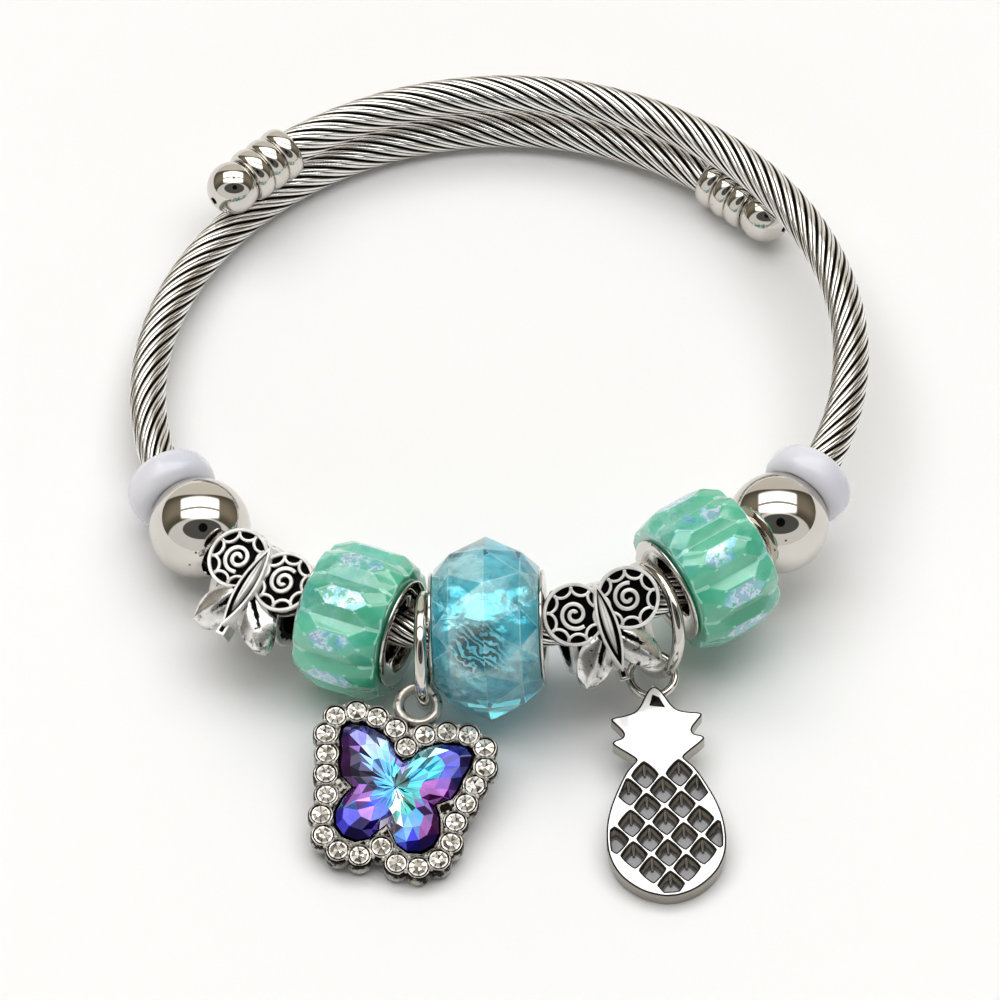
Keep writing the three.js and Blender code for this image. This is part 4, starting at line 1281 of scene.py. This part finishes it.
def addHangerRings():
    for name in ("Butterfly", "Pineapple"):
        ring = wireRing("hangerRing" + name, hanger["radius"], hanger["wire"])
        place = frameOf(Vector(hanger[name]["at"]) + originShift, hanger[name]["axis"])
        finishPiece(ring, place @ Matrix.Rotation(math.pi / 2, 4, "Y"), polishedSteel,
                    "hanger_ring_" + name.lower())


addHangerRings()
print("hanger rings")


# Butterfly charm

charm = {
    "tilt": 14, "lean": -13.1, "plate": 1.7, "faceDrop": 0.12, "edge": 0.62, "seatDepth": 0.75,
    "loop": (0, 9.15), "loopRadius": 1.66, "loopWire": 0.5, "neckHalf": 0.6, "neckFrom": 5.6, "neckTo": 7.5,
    "stoneRadius": 0.84, "seatWall": 0.29, "seatGap": 0.09, "pin": 0.21, "pinApart": 0.62,
    "window": 1.05, "collar": 1.105, "windowMiddle": 0.4, "hangsAt": (-6.85, -35.42, 4.87),
}
# half of the stones, from the top notch to the bottom notch
stoneRow = [(0, 4.85), (1.3, 6.3), (3.1, 7.0), (4.95, 7.15), (6.6, 6.3), (7.05, 4.5), (6.55, 2.7),
            (6.2, 0.85), (5.7, -1.05), (5.75, -3.0), (5.1, -4.8), (3.55, -5.9), (1.65, -5.95), (0, -4.75)]
crystalHalf = [(0, 3.45), (0.62, 3.85), (1.25, 4.85), (2.05, 5.45), (3.1, 5.83), (4.15, 6.0), (5.1, 5.9),
               (5.68, 5.3), (5.65, 4.3), (5.3, 3.2), (5.15, 1.9), (4.75, 0.95), (3.6, 0.15), (4.2, -0.95),
               (4.55, -2.4), (4.25, -3.6), (3.4, -4.4), (2.2, -4.6), (1.15, -4.1), (0.5, -3.2), (0, -2.55)]


def charmPlace(tilt, lean, anchor, anchorPlace):
    turn = Matrix.Rotation(math.radians(tilt), 4, "X") @ Matrix.Rotation(math.radians(lean), 4, "Z")
    move = Vector(anchorPlace) + originShift - turn @ Vector(anchor)
    return Matrix.Translation(move) @ turn


charmFrame = charmPlace(charm["tilt"], charm["lean"], (*charm["loop"], charm["plate"] / 2), charm["hangsAt"])


def stonePlaces():
    places = [stoneRow[0]]
    for x, y in stoneRow[1:-1]:
        places += [(x, y), (-x, y)]
    return places + [stoneRow[-1]]


def seatPart():
    # a cup with a blackened inside and a pale lip
    bore = charm["stoneRadius"] + charm["seatGap"]
    outer = charm["stoneRadius"] + charm["seatWall"]
    top, floorAt, pinhole = charm["plate"], charm["plate"] - charm["seatDepth"], 0.05
    seat = turnedPiece("seat", [
        (0, pinhole), (0, outer - 0.1), (0.12, outer), (top - 0.2, outer), (top - 0.06, outer - 0.05),
        (top, outer - 0.12), (top - 0.02, bore + 0.02), (top - 0.1, bore), (floorAt, bore),
        (floorAt, pinhole), (0, pinhole)], 32)
    seat.data.transform(Matrix.Rotation(-math.pi / 2, 4, "Y"))

    def relief(point):
        if math.hypot(point.x, point.y) < bore + 0.01 and point.z > 0.5:
            return 0.0
        if point.z > top - 0.03:
            return 0.57
        return 0.36 if point.z > top - 0.25 or point.z < 0.06 else 0.60

    markRelief(seat, relief)
    return seat


def clawPlaces():
    # two small claws between each pair of stones
    places = []
    for before, after in zip(stoneRow, stoneRow[1:]):
        middle = ((before[0] + after[0]) / 2, (before[1] + after[1]) / 2)
        for apart in (-charm["pinApart"], charm["pinApart"]):
            x, y = beside(before, middle, after, apart)
            places += [(x, y), (-x, y)]
    return places


def clawPart(x, y):
    deselectAll()
    bpy.ops.mesh.primitive_uv_sphere_add(segments=12, ring_count=8, radius=charm["pin"],
                                         location=(x, y, charm["plate"] + 0.06))
    bpy.ops.transform.resize(value=(1, 1, 1.25))
    bpy.ops.object.transform_apply(location=True, rotation=True, scale=True)
    claw = bpy.context.object
    smoothBy(claw, 60)
    markRelief(claw, lambda point: 0.85 if point.z > charm["plate"] else 0.3)
    return claw


def addButterflyCharm():
    top = charm["plate"]
    face = top - charm["faceDrop"]
    crystalOutline = bothHalves(crystalHalf)
    plate = plateFrom("butterflyCharm", grownOutline(bothHalves(stoneRow), charm["edge"]), 0, face)
    collarOutline = scaledOutline(crystalOutline, charm["collar"], charm["windowMiddle"])
    collar = plateFrom("collar", collarOutline, top - 0.9, face)
    windowOutline = scaledOutline(crystalOutline, charm["window"], charm["windowMiddle"])
    window = plateFrom("window", windowOutline, top - 1.27, top + 1)
    seat = seatPart()
    cups, bores = [], []
    for x, y in stonePlaces():
        cup = copyOf(seat, "seat")
        cup.data.transform(Matrix.Translation((x, y, 0)))
        cups.append(cup)
        bore = discOutline(x, y, charm["stoneRadius"] + 0.04, 32)
        bores.append(plateFrom("bore", bore, top - charm["seatDepth"] - 0.01, top + 1))
    bpy.data.objects.remove(seat)
    bores = joinedPiece("bores", bores)
    for body, height in ((plate, 0.42), (collar, 0.53)):
        carve(body, copyOf(window, "windowTool"))
        carve(body, copyOf(bores, "boreTool"))
        markRelief(body, lambda point: height if point.z > top - 0.2 else 0.04 if point.z > 0.1 else 0.5)
    bpy.data.objects.remove(window)
    bpy.data.objects.remove(bores)
    smoothBy(plate, 30)
    loop = castRing("loop", charm["loopRadius"], charm["loopWire"])
    loop.data.transform(Matrix.Translation((*charm["loop"], top / 2)))
    markRelief(loop, lambda point: 0.57)
    neckOutline = rectangle((-charm["neckHalf"], charm["neckFrom"]), (charm["neckHalf"], charm["neckTo"]))
    neck = plateFrom("neck", neckOutline, 0.25, top - 0.75)
    bevelled(neck, 0.15)
    markRelief(neck, lambda point: 0.5)
    claws = [clawPart(x, y) for x, y in clawPlaces()]
    whole = joinedPiece("butterflyCharm", [plate, collar, loop, neck] + cups + claws)
    finishPiece(whole, charmFrame, charmSilver, "butterfly_charm")


# The crystal's colours, with painted glints among them (the near-white ones): x and y on its face, then red,
# green and blue
crystalTintsAndGlints = [
    (-5.2, 5.2, (45, 30, 105)), (-4.2, 5.0, (110, 110, 230)), (-2.9, 4.8, (150, 170, 248)),
    (-5.1, 3.9, (110, 40, 160)), (-4.9, 2.4, (95, 28, 130)), (-3.7, 2.6, (28, 14, 78)),
    (-2.2, 2.9, (105, 165, 246)), (-0.9, 2.4, (60, 180, 240)), (-0.2, 3.1, (120, 120, 225)),
    (0.2, 1.2, (8, 62, 66)), (1.2, 3.6, (80, 205, 238)), (2.3, 4.5, (165, 236, 250)),
    (2.4, 3.0, (40, 185, 232)), (3.8, 5.0, (58, 58, 200)), (5.0, 4.9, (34, 24, 140)),
    (4.4, 3.3, (58, 66, 205)), (4.4, 1.9, (96, 40, 148)), (3.3, 1.0, (128, 52, 150)),
    (2.1, 1.9, (30, 150, 200)), (1.3, 0.8, (10, 142, 148)), (-1.1, 1.2, (50, 165, 235)),
    (-2.3, 0.8, (24, 16, 72)), (-3.5, -0.6, (120, 52, 160)), (-4.2, -1.7, (84, 140, 240)),
    (-3.4, -3.0, (44, 44, 210)), (-2.3, -2.0, (165, 110, 220)), (-1.8, -3.6, (52, 30, 150)),
    (-1.1, -1.4, (52, 76, 215)), (-0.3, -0.4, (40, 140, 210)), (0.5, -0.6, (232, 240, 250)),
    (1.2, -1.0, (10, 140, 132)), (2.1, -1.3, (20, 112, 160)), (3.1, -0.7, (84, 30, 130)),
    (3.6, -2.3, (118, 34, 140)), (1.9, -2.8, (84, 140, 232)), (0.6, -3.1, (225, 220, 250)),
    (2.4, -3.9, (36, 36, 205)), (3.5, -3.6, (52, 26, 134)),
]
crystalSteps = [(0.86, 0.42), (0.66, 0.24), (0.42, 0.12), (0.2, 0.06)]  # share of the outline, rise
crystalMiddle = 0.6


def crystalPiece(draw):
    # the butterfly's outline, stepped in and up, then cut to flat facets
    top = charm["plate"]
    crystal = plateFrom("butterflyCrystal", bothHalves(crystalHalf), top - 1.15, top - charm["faceDrop"])
    topFaces(crystal, top - charm["faceDrop"])
    share = 1
    for nextShare, rise in crystalSteps:
        extrudeUp(rise)
        shrink(nextShare / share, nextShare / share, (0, crystalMiddle, top))
        share = nextShare
    bpy.ops.mesh.poke()
    leaveEdit()
    for vertex in crystal.data.vertices:
        if vertex.co.z > top:
            reach = 0.16 * min(math.hypot(vertex.co.x, vertex.co.y - crystalMiddle) / 3, 1)
            vertex.co += Vector([draw.uniform(-limit, limit) for limit in (reach, reach, 0.05)])
    selectFaces(crystal, lambda middle, normal: middle.z > top - 0.1)
    bpy.ops.mesh.quads_convert_to_tris(quad_method="SHORTEST_DIAGONAL")
    leaveEdit()
    bevelled(crystal, 0.02, 1, 12)
    return crystal


def addCrystal():
    draw = random.Random(5)
    crystal = crystalPiece(draw)
    mark = crystal.data.attributes.new("facetTintAndPaintedLight", "FLOAT_COLOR", "CORNER")
    for face in crystal.data.polygons:
        x, y = face.center.x, face.center.y
        near = min(crystalTintsAndGlints,
                   key=lambda tint: math.hypot(tint[0] - x, tint[1] - y) + draw.uniform(0, 0.5))
        # painted light: each facet a random brighter or darker, the thin bevel faces bright as glints, the
        # sides below the face dark
        light = draw.uniform(0.45, 1.15)
        if face.area < 0.03:
            light = 1.9
        elif face.center.z < charm["plate"] - 0.1:
            light = 0.1
        color = [min((part / 255) ** 2.2 * light, 1) for part in near[2]]
        for corner in face.loop_indices:
            mark.data[corner].color = (*color, 1)
    finishPiece(crystal, charmFrame, violetCrystal, "butterfly_crystal")


stoneCut = {"sides": 16, "deep": 0.5, "girdle": 0.03, "girdleShare": 0.86, "crown": 0.12, "tableShare": 0.56,
            "twist": 7, "table": 0.4}


def stonePart():
    # a small brilliant: a table with a star in it and a crown of wide and narrow facets, which are painted
    # light and dark
    cut = stoneCut
    radius = charm["stoneRadius"] - 0.03
    centre = (0, 0, 0)
    deselectAll()
    bpy.ops.mesh.primitive_cylinder_add(vertices=cut["sides"], radius=radius, depth=cut["deep"],
                                        location=(0, 0, -cut["deep"] / 2))
    bpy.ops.object.transform_apply(location=True, rotation=True, scale=True)
    stone = bpy.context.object
    topFaces(stone, 0)
    for share, rise in ((cut["girdleShare"], cut["girdle"]), (cut["tableShare"], cut["crown"])):
        extrudeUp(rise)
        shrink(share, share, centre)
    bpy.ops.mesh.poke(offset=-0.1)
    selectFaces(stone, lambda middle, normal: normal.z < -0.9)
    shrink(0.3, 0.3, centre)
    leaveEdit()
    step = 2 * math.pi / cut["sides"]
    for vertex in stone.data.vertices:  # every second facet of the crown is narrow
        reach = math.hypot(vertex.co.x, vertex.co.y)
        if 0.05 < reach < radius * 0.95:
            angle = math.atan2(vertex.co.y, vertex.co.x)
            angle += math.radians(cut["twist"]) * (1 if round(angle / step) % 2 else -1)
            vertex.co.x, vertex.co.y = reach * math.cos(angle), reach * math.sin(angle)
    return stone


def paintStoneFacetLight(stone, draw):
    # painted light and shade: the wide facets are light, the narrow ones between them dark, the outer band
    # light and the underside dark
    step = 2 * math.pi / stoneCut["sides"]
    shade = stone.data.attributes.new("paintedFacetLight", "FLOAT", "CORNER")
    for face in stone.data.polygons:
        reach = math.hypot(face.center.x, face.center.y)
        narrow = round((math.atan2(face.center.y, face.center.x) - step / 2) / step) % 2
        inTable = reach < stoneCut["table"]
        value = draw.uniform(0.75, 1.0) if draw.random() < 0.75 else draw.uniform(0.3, 0.6)
        if narrow:
            value = draw.uniform(0.0, 0.25) if not inTable or draw.random() < 0.6 else 0.8
        elif inTable:
            value = draw.choice((0.1, 0.45, 0.95, 1.0))
        if face.center.z < -0.05:
            value = 0.1
        elif reach > 0.7:
            value = 0.85
        for corner in face.loop_indices:
            shade.data[corner].value = value


def addStones():
    model = stonePart()
    draw = random.Random(3)
    for index, (x, y) in enumerate(stonePlaces()):
        stone = copyOf(model, "stone%02d" % (index + 1))
        paintStoneFacetLight(stone, draw)
        place = charmFrame @ Matrix.Translation((x, y, charm["plate"] - 0.1))
        spin = Matrix.Rotation(index * math.pi / 11, 4, "Z")
        finishPiece(stone, place @ spin, clearCrystal, "stone_%02d" % (index + 1))
    bpy.data.objects.remove(model)


addButterflyCharm()
addCrystal()
addStones()
print("butterfly charm")


# Pineapple charm with its jump ring

pineapple = {
    "tilt": 8.2, "lean": 4.1, "plate": 1.5, "crownPlate": 0.95, "crownFrom": 5.6,
    "rim": 0.42, "faceInset": 0.12, "faceRise": 0.04,
    "pit": 0.8, "middle": (0.08, -0.95), "pitchX": 1.49, "pitchY": 1.557, "openX": 1.07, "openY": 1.24,
    "floorShift": 0.42, "floorShare": (0.60, 0.56), "ridgeWire": 0.14,
    "hole": [(-0.35, 10.75), (0.6, 10.55), (0.25, 11.35), (-0.1, 11.55)], "holeMiddle": (0.1, 11.2),
    "holeDeep": 0.7, "ringAt": (0.05, 11.2), "ringPlace": (13.65, -34.0, 3.31),
    "bailAt": (0, 12.45, -0.45), "bailRadius": 0.74, "bailWire": 0.23,
}
jumpRing = {"radius": 1.97, "wire": 0.38, "rise": 6.4}

# right halves, from the top to the bottom: the fruit's side, which ends the outline of the whole
# plate below its crown and the outline of the fruit alone
fruitSide = [(2.98, 4.1), (3.8, 2.57), (4.56, 0.78), (5.03, -1.0), (5.15, -3.0), (4.88, -4.6),
             (4.22, -5.95), (3.24, -7.0), (2.05, -7.8), (0.75, -8.24), (0, -8.3)]
plateHalf = [(0, 12.55), (0.5, 12.2), (0.92, 11.5), (1.3, 10.75), (1.85, 10.1), (2.75, 9.8), (3.62, 9.66),
             (3.92, 9.4), (3.45, 8.75), (3.05, 8.2), (2.97, 7.8), (3.2, 7.5), (3.72, 7.33), (3.95, 7.0),
             (3.4, 6.45), (2.65, 5.85), (2.08, 5.3), (2.25, 4.95)] + fruitSide
fruitHalf = [(0, 6.0), (1.1, 5.75), (2.1, 5.1)] + fruitSide

pineappleFrame = charmPlace(pineapple["tilt"], pineapple["lean"],
                            (*pineapple["ringAt"], pineapple["crownPlate"] / 2 + 0.1), pineapple["ringPlace"])


def fruitOutline(inwards):
    middle = Vector((0, -0.75))
    spokes = [Vector(point) - middle for point in smoothOutline(bothHalves(fruitHalf), 96)]
    return [tuple(spoke * (1 - inwards / spoke.length) + middle) for spoke in spokes]


def pitCentres():
    # every second place of a grid, without the corners that the rim leaves no room for
    p = pineapple
    return [(p["middle"][0] + column * p["pitchX"], p["middle"][1] + row * p["pitchY"])
            for row in range(-4, 4) for column in range(-3, 4)
            if (row + column) % 2 == 0 and (abs(column) < 3 or row == -1) and (row > -4 or column == 0)]


def pitTool(x, y):
    # a rounded diamond that narrows to a small low floor
    p = pineapple
    floorAt, mouth = p["plate"] - p["pit"], p["plate"] + 0.02
    tool = plateFrom("pit", diamondOutline(x, y, p["openX"], p["openY"]), floorAt, mouth)
    topFaces(tool, mouth)
    extrudeUp(1)
    selectFaces(tool, lambda middle, normal: normal.z < -0.9)
    shrink(*p["floorShare"], (x, y - p["floorShift"], floorAt))
    leaveEdit()
    return tool


def pineapplePlate():
    p = pineapple
    top = p["plate"]
    body = plateFrom("pineapple", smoothOutline(bothHalves(plateHalf), 216), 0, top)
    pits = joinedPiece("pits", [pitTool(x, y) for x, y in pitCentres()])
    carve(pits, plateFrom("inside", fruitOutline(p["rim"]), top - p["pit"] - 0.2, top + 2), "INTERSECT")
    carve(body, pits)
    carve(body, plateFrom("hole", p["hole"], top - p["holeDeep"], 2 * top))
    editAll(body)  # an edge below the face, and one where the crown starts to thin
    bpy.ops.mesh.bisect(plane_co=(0, 0, top - 0.12), plane_no=(0, 0, 1))
    bpy.ops.mesh.select_all(action="SELECT")
    bpy.ops.mesh.bisect(plane_co=(0, p["crownFrom"], 0), plane_no=(0, 1, 0))
    leaveEdit()
    topFaces(body, top)
    bpy.ops.mesh.inset(thickness=p["faceInset"])
    bpy.ops.mesh.inset(thickness=0.03)
    bpy.ops.transform.translate(value=(0, 0, p["faceRise"]))
    leaveEdit()
    return body


def plateRelief():
    # rises from the pits' floors up their walls; the outline, the sides and the face have one value each
    p = pineapple
    top = p["plate"]
    centres, edge = pitCentres(), fruitOutline(p["rim"] * 0.55)
    holeX, holeY = p["holeMiddle"]

    def inPit(point):
        near = any(abs(point.x - x) / (p["openX"] + 0.1) + abs(point.y - y) / (p["openY"] + 0.1) < 1.2
                   for x, y in centres)
        offEdge = min(math.hypot(point.x - x, point.y - y) for x, y in edge) > 0.16
        return near and offEdge and -7.95 < point.y < 5.4

    def relief(point):
        if abs(point.x - holeX) < 0.75 and abs(point.y - holeY) < 0.8 and point.z < top - 0.06:
            return 0.5
        # the raised face takes the value that the material paints white, as the reflection in its polish
        if point.z > top + p["faceRise"] / 2:
            return 1.0
        if point.z > top - 0.03:
            return 0.34
        if point.z > 0.3 and inPit(point):
            return 0.28 * (point.z - top + p["pit"]) / p["pit"]
        return 0.74

    return relief


def pitRidges():
    # a small ridge down the upper corner of each pit away from the rim
    top = pineapple["plate"]
    ridges = []
    for x, y in pitCentres():
        if math.hypot(x / 4.2, (y + 1) / 6.2) < 1:
            points = [(x, y + 1.02, top - 0.2), (x, y + 0.62, top - 0.36), (x, y + 0.3, top - 0.66)]
            ridge = wireAlong("ridge", points, pineapple["ridgeWire"])
            markRelief(ridge, lambda point: 0.66)
            ridges.append(ridge)
    return ridges


def addPineapple():
    p = pineapple
    body = pineapplePlate()
    markRelief(body, plateRelief())
    for vertex in body.data.vertices:  # the crown thins towards its tip, from both sides
        along = max(vertex.co.y - p["crownFrom"], 0)
        vertex.co.z += (0.02 if vertex.co.z < 0.2 else -0.055) * along
    smoothBy(body, 20)
    bail = castRing("bail", p["bailRadius"], p["bailWire"])
    bail.data.transform(Matrix.Translation(p["bailAt"]) @ Matrix.Rotation(math.pi / 2, 4, "Y"))
    markRelief(bail, lambda point: 1.0)
    whole = joinedPiece("pineappleCharm", [body, bail] + pitRidges())
    finishPiece(whole, pineappleFrame, whiteSilver, "pineapple_charm")


def addJumpRing():
    ring = wireRing("jumpRing", jumpRing["radius"], jumpRing["wire"])
    rise = Matrix.Rotation(math.radians(jumpRing["rise"]), 4, "X")
    reach = Matrix.Translation((0, jumpRing["radius"], 0))
    place = pineappleFrame @ Matrix.Translation(pineapple["bailAt"]) @ rise @ reach
    finishPiece(ring, place, polishedSteel, "jump_ring")


addPineapple()
addJumpRing()
print("pineapple charm")

deselectAll()
